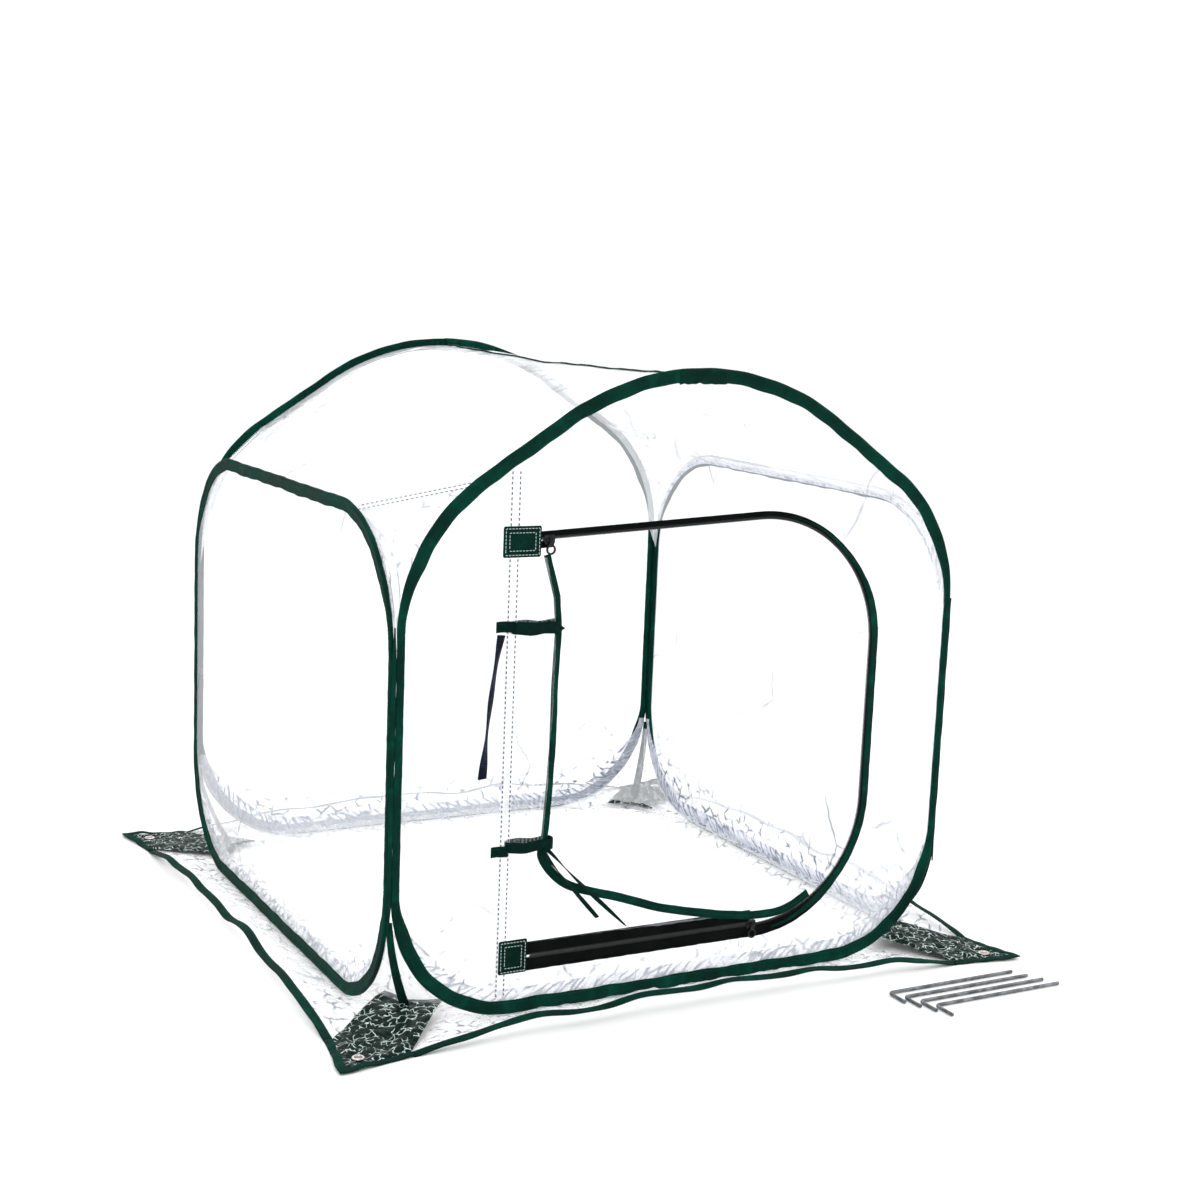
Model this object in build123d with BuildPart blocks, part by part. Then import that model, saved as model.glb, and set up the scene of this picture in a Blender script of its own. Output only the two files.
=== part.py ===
from build123d import *
from math import acos, atan2, cos, hypot, radians, sin, sqrt, tan
import os

# Mini pop-up greenhouse: four closed spring-wire loops in folded binding, each holding a clear
# film wall, sewn to each other along the upright corners, with a film roof stretched between two
# tall arches, a film floor, a skirt with a hem, and a zipped door in the front wall.
# Millimetres. +X is to the right seen from the door, +Y to the back, +Z up.
# The origin is the centre of the floor film's underside.

os.makedirs("parts", exist_ok=True)

# ---- Walls ----
HINGE_GAP = 0.3  # from a wall's edge to the upright seam line that it folds about
BAND_WIDTH = 19.0  # folded binding, seen square on
BULGE = 5.4  # thickness of the binding round the wire
BULGE_WIDTH = 5.8
TAPE_THICKNESS = 2.6  # both plies of the binding and the film between them
CHANNEL = 3.8  # square channel for the wire
CHANNEL_WALL = 1.0
SLOT = 0.7  # between the plies, for the film
SLOT_DEPTH = 8.2
FILM = 0.5
FILM_BITE = 8.0  # film held between the plies
WIRE_R = 1.2
WIRE_GAP = 1.0  # between the wire's two ends inside the ferrule
FERRULE_R = 1.8
FERRULE_BORE_R = 1.25
FERRULE_LENGTH = 26.0
LOOP_HALF = 343.5  # half width of a loop, at the middle of its band
LIFT = 10.5  # height of the bottom run, at the middle of its band
WALL_OUT = LOOP_HALF + BAND_WIDTH / 2 + HINGE_GAP + HINGE_GAP + BULGE / 2  # a wall's middle plane

ARCH_SHOULDER_Z = 525.0
ARCH_APEX_Z = 755.0  # where the two straight flanks would meet
ARCH_BOTTOM_R = 135.0
ARCH_SHOULDER_R = 182.0
ARCH_APEX_R = 305.0
SIDE_TOP_Z = 541.0
SIDE_BOTTOM_R = 125.0
SIDE_TOP_R = 145.0

# ---- Base ----
FLOOR_CORNER = 312.0  # the floor film's corners stand inside the wall corners
FLOOR_EDGE = 352.6
SKIRT_INNER = 353.0
SKIRT_OUT = 412.0
SKIRT_RUN = 350.0  # half length of the straight hem
TIP_OUT = 428.0
HEM_WIDTH = 10.0
HEM_THICKNESS = 1.4
PATCH_SHARE = 0.52  # where along the floor's cut corner the patch's side starts
PATCH_Z = 0.8
PATCH_THICKNESS = 0.8
EYELET_AT = 405.0
EYELET_BORE_R = 4.0
EYELET_BARREL_R = 4.95
EYELET_FLANGE_R = 7.0
EYELET_Z = 0.1
EYELET_HEIGHT = 2.25
EYELET_FLANGE = 0.65
GUSSET_TOP_Z = 125.0  # where the two loops' bottom corners meet
GUSSET_BITE = 3.5  # film behind the binding
GUSSET_BELLY = 1.6  # over 1 bows the gusset's fold line outward
GUSSET_HEIGHTS = (1.8, 12.0, 25.0, 47.5, 70.0, 100.0)  # where the gusset's shape is set
STRIP_FOOT_Z = 3.0
STRIP_TOP_Z = 92.0
STRIP_STEPS = 4
STRIP_WIDTH = (13.0, 8.0)  # at the ground and at the top
STRIP_THICKNESS = 1.0

# ---- Roof ----
ROOF_FILM = 0.8
ROOF_Y = 352.4  # just inside the arches
ROOF_X = 352.0
SEAM_ARCH_X = 235.0  # the corner gusset's seam, at the arch
SEAM_SIDE_Y = 200.0  # and at the side loop
SEAM_CLEAR = 0.985
ROOF_GUSSET_Y = (352.4, 336.0, 310.0, 280.0, 245.0, 212.0)  # where a roof gusset's shape is set
ARC_STEPS = 6

# ---- Door ----
SEAM_X = -226.0  # upright stitched seam that the door hangs from
ZIP_BOTTOM_Z = 64.0
ZIP_RIGHT_X = 237.0
ZIP_TOP_Z = (519.0, 545.0)  # at the seam and at the right-hand corner
ZIP_BOTTOM_R = 140.0
ZIP_TOP_R = 150.0
ZIP_BEYOND = 74.0  # the outline is drawn past the seam and then cut there
DOOR_Z = (0, 600)
DOOR_LOW_Z = (0, 200)
DOOR_HIGH_Z = (400, 600)
COIL_NEAR = 0.8  # a coil's near and far edge, from the zip's middle line
COIL_FAR = 3.2
COIL_THICKNESS = 2.4
TAPE_FAR = 16.5
ZIP_TAPE = 0.8
COIL_START_X = -192.0
ZIPPED_TO_X = 95.0  # end of the closed stretch along the bottom
TOP_ZIPPED_TO_X = -179.0
PATCH_TOP = (-238.0, -194.0, 503.0, 536.0)  # x and z limits of the zip's end patches
PATCH_BOTTOM = (-228.0, -194.0, 47.0, 85.0)
PATCH_FABRIC = 0.8
TOP_SLIDER_X = -185.0
BOTTOM_SLIDER_X = 94.0
SLIDER_HALF = 6.0
SLIDER_HALF_WIDTH = 5.0
GATHER_X = -200.5
GATHER_HALF = (22.0, 6.0)
GATHER_Z = (187.0, 497.0)
GATHER_SECTIONS = (  # height, and shares of the full half widths along X and Y
    (187.0, 1.0, 0.8),
    (300.0, 0.92, 1.0),
    (428.0, 0.9, 0.8),
    (497.0, 1.0, 0.7),
)
EDGE_WIDTH = 8.0
EDGE_THICKNESS = 2.0
EDGE_CORNER_R = 2.0
EDGE_X = -173.5
TIE_HEIGHT = 15.0
TIE_THICKNESS = 1.0
TIE_CLEAR = 0.6
TIE_UPPER_Z = 428.0
TIE_LOWER_Z = 192.0
RIBBON_WIDTH = 5.0
RIBBON_LINES = (((-182.0, 190.0), (-76.0, 86.0)), ((-182.0, 186.0), (-112.0, 100.0)))
TAIL_CURVE = ((-236.0, 424.0), (-249.0, 364.0), (-258.0, 268.0))

# ---- Stakes ----
STAKE_R = 2.0
STAKE_LENGTH = 180.0
STAKE_ARM = 30.0
STAKE_BEND_R = 6.0
STAKE_COUNT = 4
STAKE_FIRST = (215.0, -468.0)  # in front of the hem, clear of the walls as they fold
STAKE_STEP = (9.0, -17.0)

LOOP_BOTTOM = [(-LOOP_HALF, LIFT), (LOOP_HALF, LIFT)]
ARCH_LOOP = (
    LOOP_BOTTOM + [(LOOP_HALF, ARCH_SHOULDER_Z), (0, ARCH_APEX_Z), (-LOOP_HALF, ARCH_SHOULDER_Z)],
    [ARCH_BOTTOM_R, ARCH_BOTTOM_R, ARCH_SHOULDER_R, ARCH_APEX_R, ARCH_SHOULDER_R],
)
SIDE_LOOP = (
    LOOP_BOTTOM + [(LOOP_HALF, SIDE_TOP_Z), (-LOOP_HALF, SIDE_TOP_Z)],
    [SIDE_BOTTOM_R, SIDE_BOTTOM_R, SIDE_TOP_R, SIDE_TOP_R],
)
WALLS = {
    "front": (Plane(origin=(0, -WALL_OUT, 0), x_dir=(1, 0, 0), z_dir=(0, -1, 0)), ARCH_LOOP),
    "right": (Plane(origin=(WALL_OUT, 0, 0), x_dir=(0, 1, 0), z_dir=(1, 0, 0)), SIDE_LOOP),
    "back": (Plane(origin=(0, WALL_OUT, 0), x_dir=(-1, 0, 0), z_dir=(0, 1, 0)), ARCH_LOOP),
    "left": (Plane(origin=(-WALL_OUT, 0, 0), x_dir=(0, -1, 0), z_dir=(-1, 0, 0)), SIDE_LOOP),
}
FRONT = WALLS["front"][0]
CORNERS = {"front": [("left", -1, -1), ("right", 1, -1)], "back": [("left", -1, 1), ("right", 1, 1)]}


def save(builder, name):
    builder.part.label = name
    export_step(builder.part, f"parts/{name}.step")


def between(a, b, share):
    return tuple(p + (q - p) * share for p, q in zip(a, b))


def grown(loop, by):
    """The loop's outline moved outward: every side by the same distance, every arc to match."""
    corners, radii = loop
    moved = []
    for i, (x, z) in enumerate(corners):
        before, after = corners[i - 1], corners[(i + 1) % len(corners)]
        normals = []
        for (x0, z0), (x1, z1) in ((before, (x, z)), ((x, z), after)):
            length = hypot(x1 - x0, z1 - z0)
            normals.append(((z1 - z0) / length, -(x1 - x0) / length))
        (ax, az), (bx, bz) = normals
        share = by / (1 + ax * bx + az * bz)
        moved.append((x + (ax + bx) * share, z + (az + bz) * share))
    return moved, [r + by if r else 0 for r in radii]


def loop_face(plane, loop):
    corners, radii = loop
    with BuildSketch(plane) as face:
        with BuildLine():
            FilletPolyline(*corners, radius=radii, close=True)
        make_face()
    return face.sketch


# ---- The four walls: wire, ferrule, binding and film ----
def make_wire(name, plane, loop):
    corners, radii = grown(loop, BAND_WIDTH / 2 - BULGE_WIDTH / 2)
    low = corners[0][1]
    start, end = (WIRE_GAP / 2, low), (-WIRE_GAP / 2, low)
    route = [start, *corners[1:], corners[0], end]
    with BuildPart() as wire:
        with BuildLine(plane) as path:
            FilletPolyline(*route, radius=[*radii[1:], radii[0]])
        with BuildSketch(Plane(origin=path.line @ 0, z_dir=path.line % 0)):
            Circle(WIRE_R)
        sweep()
    save(wire, f"wire_{name}")
    with BuildPart() as ferrule:
        with BuildSketch(Plane(origin=plane.from_local_coords((0, low, 0)), z_dir=plane.x_dir)):
            Circle(FERRULE_R)
            Circle(FERRULE_BORE_R, mode=Mode.SUBTRACT)
        extrude(amount=FERRULE_LENGTH / 2, both=True)
    save(ferrule, f"wire_ferrule_{name}")


def make_binding(name, plane, loop):
    edge = BAND_WIDTH / 2
    outline, hollow = grown(loop, edge), grown(loop, -edge)
    with BuildPart() as binding:
        extrude(loop_face(plane, outline), amount=BULGE / 2, both=True)
        for side in (-1, 1):
            # Past the bulge the binding thins to its two flat plies.
            shelf = plane.offset(side * TAPE_THICKNESS / 2)
            extrude(
                loop_face(shelf, grown(loop, edge - BULGE_WIDTH)),
                amount=side * BULGE,
                mode=Mode.SUBTRACT,
            )
        extrude(loop_face(plane, hollow), amount=BULGE, both=True, mode=Mode.SUBTRACT)
        extrude(
            loop_face(plane, grown(loop, -edge + SLOT_DEPTH)),
            amount=SLOT / 2,
            both=True,
            mode=Mode.SUBTRACT,
        )
    channel_out = grown(loop, edge - CHANNEL_WALL)
    channel_in = grown(loop, edge - CHANNEL_WALL - CHANNEL)
    with BuildPart() as channel:
        extrude(loop_face(plane, channel_out), amount=CHANNEL / 2, both=True)
        extrude(loop_face(plane, channel_in), amount=CHANNEL / 2, both=True, mode=Mode.SUBTRACT)
    with BuildPart() as finished:
        add(binding.part)
        add(channel.part, mode=Mode.SUBTRACT)
    save(finished, f"binding_{name}")


def door_outline(by):
    """The zip's middle line, drawn on past the door seam, moved outward."""
    (seam_z, right_z) = ZIP_TOP_Z
    slope = (right_z - seam_z) / (ZIP_RIGHT_X - SEAM_X)
    far_x = SEAM_X - ZIP_BEYOND
    corners = [
        (far_x, ZIP_BOTTOM_Z),
        (ZIP_RIGHT_X, ZIP_BOTTOM_Z),
        (ZIP_RIGHT_X, right_z),
        (far_x, seam_z - slope * ZIP_BEYOND),
    ]
    return grown((corners, [0, ZIP_BOTTOM_R, ZIP_TOP_R, 0]), by)


def door_ring(outer, inner, x_limits, z_limits=DOOR_Z):
    """Flat band along the zip between two distances from its middle line, cut to a window."""
    with BuildSketch(FRONT) as ring:
        with BuildLine():
            FilletPolyline(*door_outline(outer)[0], radius=door_outline(outer)[1], close=True)
        make_face()
        if inner is not None:
            with BuildLine():
                FilletPolyline(*door_outline(inner)[0], radius=door_outline(inner)[1], close=True)
            make_face(mode=Mode.SUBTRACT)
        with Locations((x_limits[0], z_limits[0])):
            Rectangle(
                x_limits[1] - x_limits[0],
                z_limits[1] - z_limits[0],
                align=(Align.MIN, Align.MIN),
                mode=Mode.INTERSECT,
            )
    return ring.sketch


def make_film(name, plane, loop):
    edge = -BAND_WIDTH / 2 + FILM_BITE
    with BuildPart() as film:
        extrude(loop_face(plane, grown(loop, edge)), amount=FILM / 2, both=True)
        if name == "front":
            doorway = door_ring(TAPE_FAR, None, (SEAM_X, WALL_OUT))
            extrude(doorway, amount=BULGE, both=True, mode=Mode.SUBTRACT)
    save(film, f"film_{name}")


for wall_name, (wall_plane, wall_loop) in WALLS.items():
    make_wire(wall_name, wall_plane, wall_loop)
    make_binding(wall_name, wall_plane, wall_loop)
    make_film(wall_name, wall_plane, wall_loop)


# ---- Floor, skirt, hem and corner patches ----
FLOOR_RUN = LOOP_HALF - ARCH_BOTTOM_R  # the straight stretch of a loop's bottom run, halved
PATCH_START = between((FLOOR_RUN, SKIRT_INNER), (FLOOR_CORNER, FLOOR_CORNER), PATCH_SHARE)

with BuildPart() as floor:
    with BuildSketch():
        with BuildLine():
            Polyline(
                *[(x * FLOOR_RUN, -FLOOR_EDGE) for x in (-1, 1)],
                (FLOOR_CORNER, -FLOOR_CORNER),
                *[(FLOOR_EDGE, y * FLOOR_RUN) for y in (-1, 1)],
                (FLOOR_CORNER, FLOOR_CORNER),
                *[(x * FLOOR_RUN, FLOOR_EDGE) for x in (1, -1)],
                (-FLOOR_CORNER, FLOOR_CORNER),
                *[(-FLOOR_EDGE, y * FLOOR_RUN) for y in (1, -1)],
                (-FLOOR_CORNER, -FLOOR_CORNER),
                close=True,
            )
        make_face()
    extrude(amount=FILM)
save(floor, "floor_film")


def ground_plane(name):
    """The ground, turned so that its X runs along the wall and its -Y points outward."""
    plane = WALLS[name][0]
    return Plane(origin=(0, 0, 0), x_dir=plane.x_dir, z_dir=(0, 0, 1))


def make_skirt(name):
    start_x, start_y = PATCH_START
    with BuildPart() as skirt:
        with BuildSketch(ground_plane(name)):
            with BuildLine():
                Polyline(
                    (-FLOOR_RUN, -SKIRT_INNER),
                    (FLOOR_RUN, -SKIRT_INNER),
                    (start_x, -start_y),
                    (SKIRT_RUN, -SKIRT_OUT),
                    (-SKIRT_RUN, -SKIRT_OUT),
                    (-start_x, -start_y),
                    close=True,
                )
            make_face()
        extrude(amount=FILM)
    save(skirt, f"skirt_{name}")
    slant = HEM_WIDTH * (TIP_OUT - SKIRT_OUT) / (TIP_OUT - SKIRT_RUN) / 2
    tip = TIP_OUT - HINGE_GAP
    reach = HEM_WIDTH + slant
    with BuildPart() as hem:
        with BuildSketch(ground_plane(name)):
            with BuildLine():
                Polyline(
                    (-tip, -TIP_OUT),
                    (-SKIRT_RUN, -SKIRT_OUT),
                    (SKIRT_RUN, -SKIRT_OUT),
                    (tip, -TIP_OUT),
                    (tip + reach, -TIP_OUT - reach),
                    (SKIRT_RUN + slant, -SKIRT_OUT - HEM_WIDTH),
                    (-SKIRT_RUN - slant, -SKIRT_OUT - HEM_WIDTH),
                    (-tip - reach, -TIP_OUT - reach),
                    close=True,
                )
            make_face()
        extrude(amount=HEM_THICKNESS)
    save(hem, f"hem_{name}")


for wall_name in WALLS:
    make_skirt(wall_name)


def make_patch(name, sx, sy):
    start_x, start_y = PATCH_START
    outline = [
        (FLOOR_CORNER, FLOOR_CORNER),
        (start_x, start_y),
        (SKIRT_RUN, SKIRT_OUT),
        (TIP_OUT, TIP_OUT),
        (SKIRT_OUT, SKIRT_RUN),
        (start_y, start_x),
    ]
    with BuildPart() as patch:
        with BuildSketch(Plane.XY.offset(PATCH_Z)):
            with BuildLine():
                Polyline(*[(sx * x, sy * y) for x, y in outline], close=True)
            make_face()
            with Locations((sx * EYELET_AT, sy * EYELET_AT)):
                Circle(EYELET_BARREL_R + FILM / 10, mode=Mode.SUBTRACT)
        extrude(amount=PATCH_THICKNESS)
    save(patch, name)


def make_eyelets(name, corners):
    spots = [(sx * EYELET_AT, sy * EYELET_AT) for _, sx, sy in corners]
    with BuildPart() as eyelets:
        for z in (EYELET_Z, EYELET_Z + EYELET_HEIGHT - EYELET_FLANGE):
            with BuildSketch(Plane.XY.offset(z)):
                with Locations(*spots):
                    Circle(EYELET_FLANGE_R)
            extrude(amount=EYELET_FLANGE)
        with BuildSketch(Plane.XY.offset(EYELET_Z)):
            with Locations(*spots):
                Circle(EYELET_BARREL_R)
        extrude(amount=EYELET_HEIGHT)
        with BuildSketch(Plane.XY.offset(EYELET_Z)):
            with Locations(*spots):
                Circle(EYELET_BORE_R)
        extrude(amount=EYELET_HEIGHT, mode=Mode.SUBTRACT)
    save(eyelets, name)


# ---- Bottom corner gussets and the strip sewn over each one's upright seam ----
def gusset_fold(z):
    """How far out the gusset's fold line stands at a height, on both axes."""
    return SKIRT_INNER - (SKIRT_INNER - FLOOR_CORNER) * (1 - z / GUSSET_TOP_Z) ** GUSSET_BELLY


def gusset_arm(z):
    """How far along the wall the gusset reaches at a height, behind the loop's rounded corner."""
    radius = ARCH_BOTTOM_R + BAND_WIDTH / 2 - GUSSET_BITE
    below = LIFT + ARCH_BOTTOM_R - z
    return FLOOR_RUN + (sqrt(radius**2 - below**2) if below < radius else 0)


def make_base_gussets(name, corners):
    with BuildPart() as gussets:
        for _, sx, sy in corners:
            sections = []
            for z in GUSSET_HEIGHTS:
                fold, arm = gusset_fold(z), gusset_arm(z)
                outline = [
                    (arm, FLOOR_EDGE),
                    (fold, fold),
                    (FLOOR_EDGE, arm),
                    (FLOOR_EDGE - FILM, arm),
                    (fold - FILM, fold - FILM),
                    (arm, FLOOR_EDGE - FILM),
                ]
                with BuildSketch(Plane.XY.offset(z)) as section:
                    with BuildLine():
                        Polyline(*[(sx * x, sy * y) for x, y in outline], close=True)
                    make_face()
                sections.append(section.sketch)
            loft(sections, ruled=True)
    save(gussets, f"base_gussets_{name}")


def make_strips(name, corners):
    with BuildPart() as strips:
        for _, sx, sy in corners:
            sections = []
            for step in range(STRIP_STEPS + 1):
                share = step / STRIP_STEPS
                z = STRIP_FOOT_Z + (STRIP_TOP_Z - STRIP_FOOT_Z) * share
                half = (STRIP_WIDTH[0] + (STRIP_WIDTH[1] - STRIP_WIDTH[0]) * share) / 2 / sqrt(2)
                near = gusset_fold(z) + FILM
                far = near + STRIP_THICKNESS / sqrt(2)
                outline = [
                    (near + half, near - half),
                    (near - half, near + half),
                    (far - half, far + half),
                    (far + half, far - half),
                ]
                with BuildSketch(Plane.XY.offset(z)) as section:
                    with BuildLine():
                        Polyline(*[(sx * x, sy * y) for x, y in outline], close=True)
                    make_face()
                sections.append(section.sketch)
            loft(sections, ruled=True)
    save(strips, f"corner_strips_{name}")


# ---- Roof ----
FLANK = atan2(ARCH_APEX_Z - ARCH_SHOULDER_Z, LOOP_HALF)  # slope of the arch's straight flank
APEX_CENTRE_Z = ARCH_APEX_Z - ARCH_APEX_R / cos(FLANK)
SHOULDER_CENTRE = (
    LOOP_HALF - ARCH_SHOULDER_R,
    ARCH_SHOULDER_Z - ARCH_SHOULDER_R * tan((radians(90) - FLANK) / 2),
)


def apex_arc(from_vertical):
    """Points of the roof's round ridge, from an angle off the vertical up to the top."""
    steps = [from_vertical * (1 - k / ARC_STEPS) for k in range(ARC_STEPS + 1)]
    return [(ARCH_APEX_R * sin(a), APEX_CENTRE_Z + ARCH_APEX_R * cos(a)) for a in steps]


def roof_half(at_side):
    """Half of the roof's profile, from its lower edge up to the ridge."""
    if at_side:
        distance = hypot(ROOF_X, SIDE_TOP_Z - APEX_CENTRE_Z)
        rise = atan2(SIDE_TOP_Z - APEX_CENTRE_Z, ROOF_X)
        touch = radians(90) - (rise + acos(ARCH_APEX_R / distance))
        return [(ROOF_X, SIDE_TOP_Z), *apex_arc(touch)]
    return [(SEAM_ARCH_X, ARCH_APEX_Z - SEAM_ARCH_X * tan(FLANK)), *apex_arc(FLANK)]


def inward(x, z, by):
    """A point of the roof moved towards the ridge's centre line."""
    length = hypot(x, z - APEX_CENTRE_Z)
    return x - x / length * by, z - (z - APEX_CENTRE_Z) / length * by


def profile_face(y, points):
    """The film's cut at one y: the profile and the same profile one film thickness inside it."""
    inner = [inward(x, z, ROOF_FILM) for x, z in reversed(points)]
    with BuildSketch(Plane(origin=(0, y, 0), x_dir=(1, 0, 0), z_dir=(0, -1, 0))) as face:
        with BuildLine():
            Polyline(*points, *inner, close=True)
        make_face()
    return face.sketch


def make_roof():
    with BuildPart() as roof:
        sections = []
        for y, at_side in ((-ROOF_Y, False), (-SEAM_SIDE_Y, True), (SEAM_SIDE_Y, True), (ROOF_Y, False)):
            half = roof_half(at_side)
            points = [(-x, z) for x, z in half] + [(x, z) for x, z in reversed(half[:-1])]
            sections.append(profile_face(y, points))
        loft(sections, ruled=True)
    save(roof, "roof_film")


def shoulder_points():
    """The arch from the foot of its shoulder up to the gusset's seam."""
    turn = radians(90) - FLANK
    cx, cz = SHOULDER_CENTRE
    arc = [
        (cx + ARCH_SHOULDER_R * cos(turn * k / ARC_STEPS), cz + ARCH_SHOULDER_R * sin(turn * k / ARC_STEPS))
        for k in range(ARC_STEPS + 1)
    ]
    return [*arc, (SEAM_ARCH_X, ARCH_APEX_Z - SEAM_ARCH_X * tan(FLANK))]


def side_top_z(y):
    """Height of the side loop's band at a distance from its middle."""
    past = y - (LOOP_HALF - SIDE_TOP_R)
    return SIDE_TOP_Z - SIDE_TOP_R + sqrt(SIDE_TOP_R**2 - past**2)


def make_roof_gussets(name, corners):
    shoulder = shoulder_points()
    foot, head = shoulder[0], shoulder[-1]
    span = hypot(head[0] - foot[0], head[1] - foot[1])
    shares = [hypot(x - foot[0], z - foot[1]) / span for x, z in shoulder]
    with BuildPart() as gussets:
        for _, sx, sy in corners:
            sections = []
            for y in ROOF_GUSSET_Y:
                inset = (ROOF_Y - y) / (ROOF_Y - SEAM_SIDE_Y)
                low = foot if y == ROOF_Y else (ROOF_X, side_top_z(y))
                seam = between(head, (ROOF_X, SIDE_TOP_Z), inset)
                bulge = (1 - inset) ** 2  # the arch's round shoulder fades along the roof
                points = []
                for (x, z), share in zip(shoulder, shares):
                    flat_x, flat_z = between(low, seam, share * SEAM_CLEAR)
                    chord_x, chord_z = between(foot, head, share)
                    points.append((flat_x + (x - chord_x) * bulge, flat_z + (z - chord_z) * bulge))
                sections.append(profile_face(sy * y, [(sx * x, z) for x, z in points]))
            loft(sections, ruled=True)
    save(gussets, f"roof_gussets_{name}")


make_roof()
for side_name, side_corners in CORNERS.items():
    make_roof_gussets(side_name, side_corners)
    make_base_gussets(side_name, side_corners)
    make_strips(side_name, side_corners)
    make_eyelets(f"eyelets_{side_name}", side_corners)
    for hand, corner_x, corner_y in side_corners:
        make_patch(f"corner_patch_{side_name}_{hand}", corner_x, corner_y)


# ---- Zip ----
def make_zip_part(name, faces, thickness):
    with BuildPart() as part:
        for face in faces:
            extrude(face, amount=thickness / 2, both=True)
    save(part, name)


ALL_X = (SEAM_X, WALL_OUT)
make_zip_part("zip_tape_frame", [door_ring(TAPE_FAR, COIL_FAR, ALL_X)], ZIP_TAPE)
make_zip_part("zip_coil_frame", [door_ring(COIL_FAR, COIL_NEAR, (COIL_START_X, WALL_OUT))], COIL_THICKNESS)
make_zip_part(
    "zip_tape_door",
    [
        door_ring(-COIL_FAR, -TAPE_FAR, (SEAM_X, ZIPPED_TO_X), DOOR_LOW_Z),
        door_ring(-COIL_FAR, -TAPE_FAR, (SEAM_X, TOP_ZIPPED_TO_X), DOOR_HIGH_Z),
    ],
    ZIP_TAPE,
)
make_zip_part(
    "zip_coil_door",
    [
        door_ring(-COIL_NEAR, -COIL_FAR, (COIL_START_X, ZIPPED_TO_X), DOOR_LOW_Z),
        door_ring(-COIL_NEAR, -COIL_FAR, (COIL_START_X, TOP_ZIPPED_TO_X), DOOR_HIGH_Z),
    ],
    COIL_THICKNESS,
)


def make_end_patch(name, limits):
    x0, x1, z0, z1 = limits
    with BuildPart() as patch:
        with BuildSketch(FRONT.offset(ZIP_TAPE / 2 + FILM / 10)):
            with Locations(((x0 + x1) / 2, (z0 + z1) / 2)):
                Rectangle(x1 - x0, z1 - z0)
        extrude(amount=PATCH_FABRIC)
    save(patch, name)


make_end_patch("zip_end_patch_top", PATCH_TOP)
make_end_patch("zip_end_patch_bottom", PATCH_BOTTOM)


# ---- Sliders and their pulls ----
SLIDER_CORNER_R = 2.0
LIP_SHORT = 4.0  # the lips stop this much short of the plates, both ends together
POST_INSET = 0.5
PLATE = 1.1
PLATE_CLEAR = 0.4
LIP_CLEAR = 0.3
LIP = 1.2
POST = 1.2
POST_LENGTH = 4.0
BAIL_R = 0.6
BAIL_HEIGHT = 2.3
BAIL_HALF = 4.0
EYE_BORE_R = 0.68
EYE_R = 1.6
EYE_WIDTH = 2.4
PULL_THICKNESS = 1.2
PULL_NECK = (3.2, 7.0)
RING_R = 5.6
RING_BORE_R = 3.5


def slider_plane(x, z, tilt):
    """X along the zip's run, Z out of the wall."""
    run = (cos(tilt), 0, sin(tilt))
    return Plane(origin=(x, -WALL_OUT, z), x_dir=run, z_dir=(0, -1, 0))


def make_slider(name, plane, divider):
    inner = COIL_THICKNESS / 2 + PLATE_CLEAR
    lip_foot = ZIP_TAPE / 2 + LIP_CLEAR
    lip_y = SLIDER_HALF_WIDTH - LIP / 2
    face = inner + PLATE
    with BuildPart() as slider:
        for side in (-1, 1):
            start = inner if side > 0 else -inner - PLATE
            with BuildSketch(plane.offset(start)):
                RectangleRounded(2 * SLIDER_HALF, 2 * SLIDER_HALF_WIDTH, SLIDER_CORNER_R)
            extrude(amount=PLATE)
            with BuildSketch(plane.offset(side * lip_foot)):
                with Locations((0, lip_y), (0, -lip_y)):
                    Rectangle(2 * SLIDER_HALF - LIP_SHORT, LIP)
            extrude(amount=side * (inner - lip_foot))
        with BuildSketch(plane.offset(-inner)):
            with Locations((divider * (SLIDER_HALF - POST_LENGTH / 2 - POST_INSET), 0)):
                Rectangle(POST_LENGTH, POST)
        extrude(amount=2 * inner)
        # The bail: a bar along the run on two feet.
        with BuildSketch(plane.offset(face)):
            with Locations((-BAIL_HALF, 0), (BAIL_HALF, 0)):
                Rectangle(POST, POST)
        extrude(amount=BAIL_HEIGHT + BAIL_R)
        bar = plane.offset(face + BAIL_HEIGHT)
        with BuildSketch(Plane(origin=bar.origin, z_dir=plane.x_dir)):
            Circle(BAIL_R)
        extrude(amount=BAIL_HALF, both=True)
    save(slider, name)
    return bar


def make_pull(name, bar):
    with BuildPart() as pull:
        with BuildSketch(bar.offset(-PULL_THICKNESS / 2)):
            neck_width, neck = PULL_NECK
            with Locations((0, -neck / 2)):
                Rectangle(neck_width, neck)
            with Locations((0, -neck - RING_BORE_R)):
                Circle(RING_R)
                Circle(RING_BORE_R, mode=Mode.SUBTRACT)
        extrude(amount=PULL_THICKNESS)
        with BuildSketch(Plane(origin=bar.origin, z_dir=bar.x_dir)):
            Circle(EYE_R)
        extrude(amount=EYE_WIDTH / 2, both=True)
        with BuildSketch(Plane(origin=bar.origin, z_dir=bar.x_dir)):
            Circle(EYE_BORE_R)
        extrude(amount=2 * EYE_WIDTH, both=True, mode=Mode.SUBTRACT)
    save(pull, name)


TOP_TILT = atan2(ZIP_TOP_Z[1] - ZIP_TOP_Z[0], ZIP_RIGHT_X - SEAM_X)
TOP_SLIDER_Z = ZIP_TOP_Z[0] + (TOP_SLIDER_X - SEAM_X) * tan(TOP_TILT)
top_bar = make_slider("top_slider", slider_plane(TOP_SLIDER_X, TOP_SLIDER_Z, TOP_TILT), 1)
make_pull("top_slider_pull", top_bar)
bottom_bar = make_slider("bottom_slider", slider_plane(BOTTOM_SLIDER_X, ZIP_BOTTOM_Z, 0), 1)
make_pull("bottom_slider_pull", bottom_bar)

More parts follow.
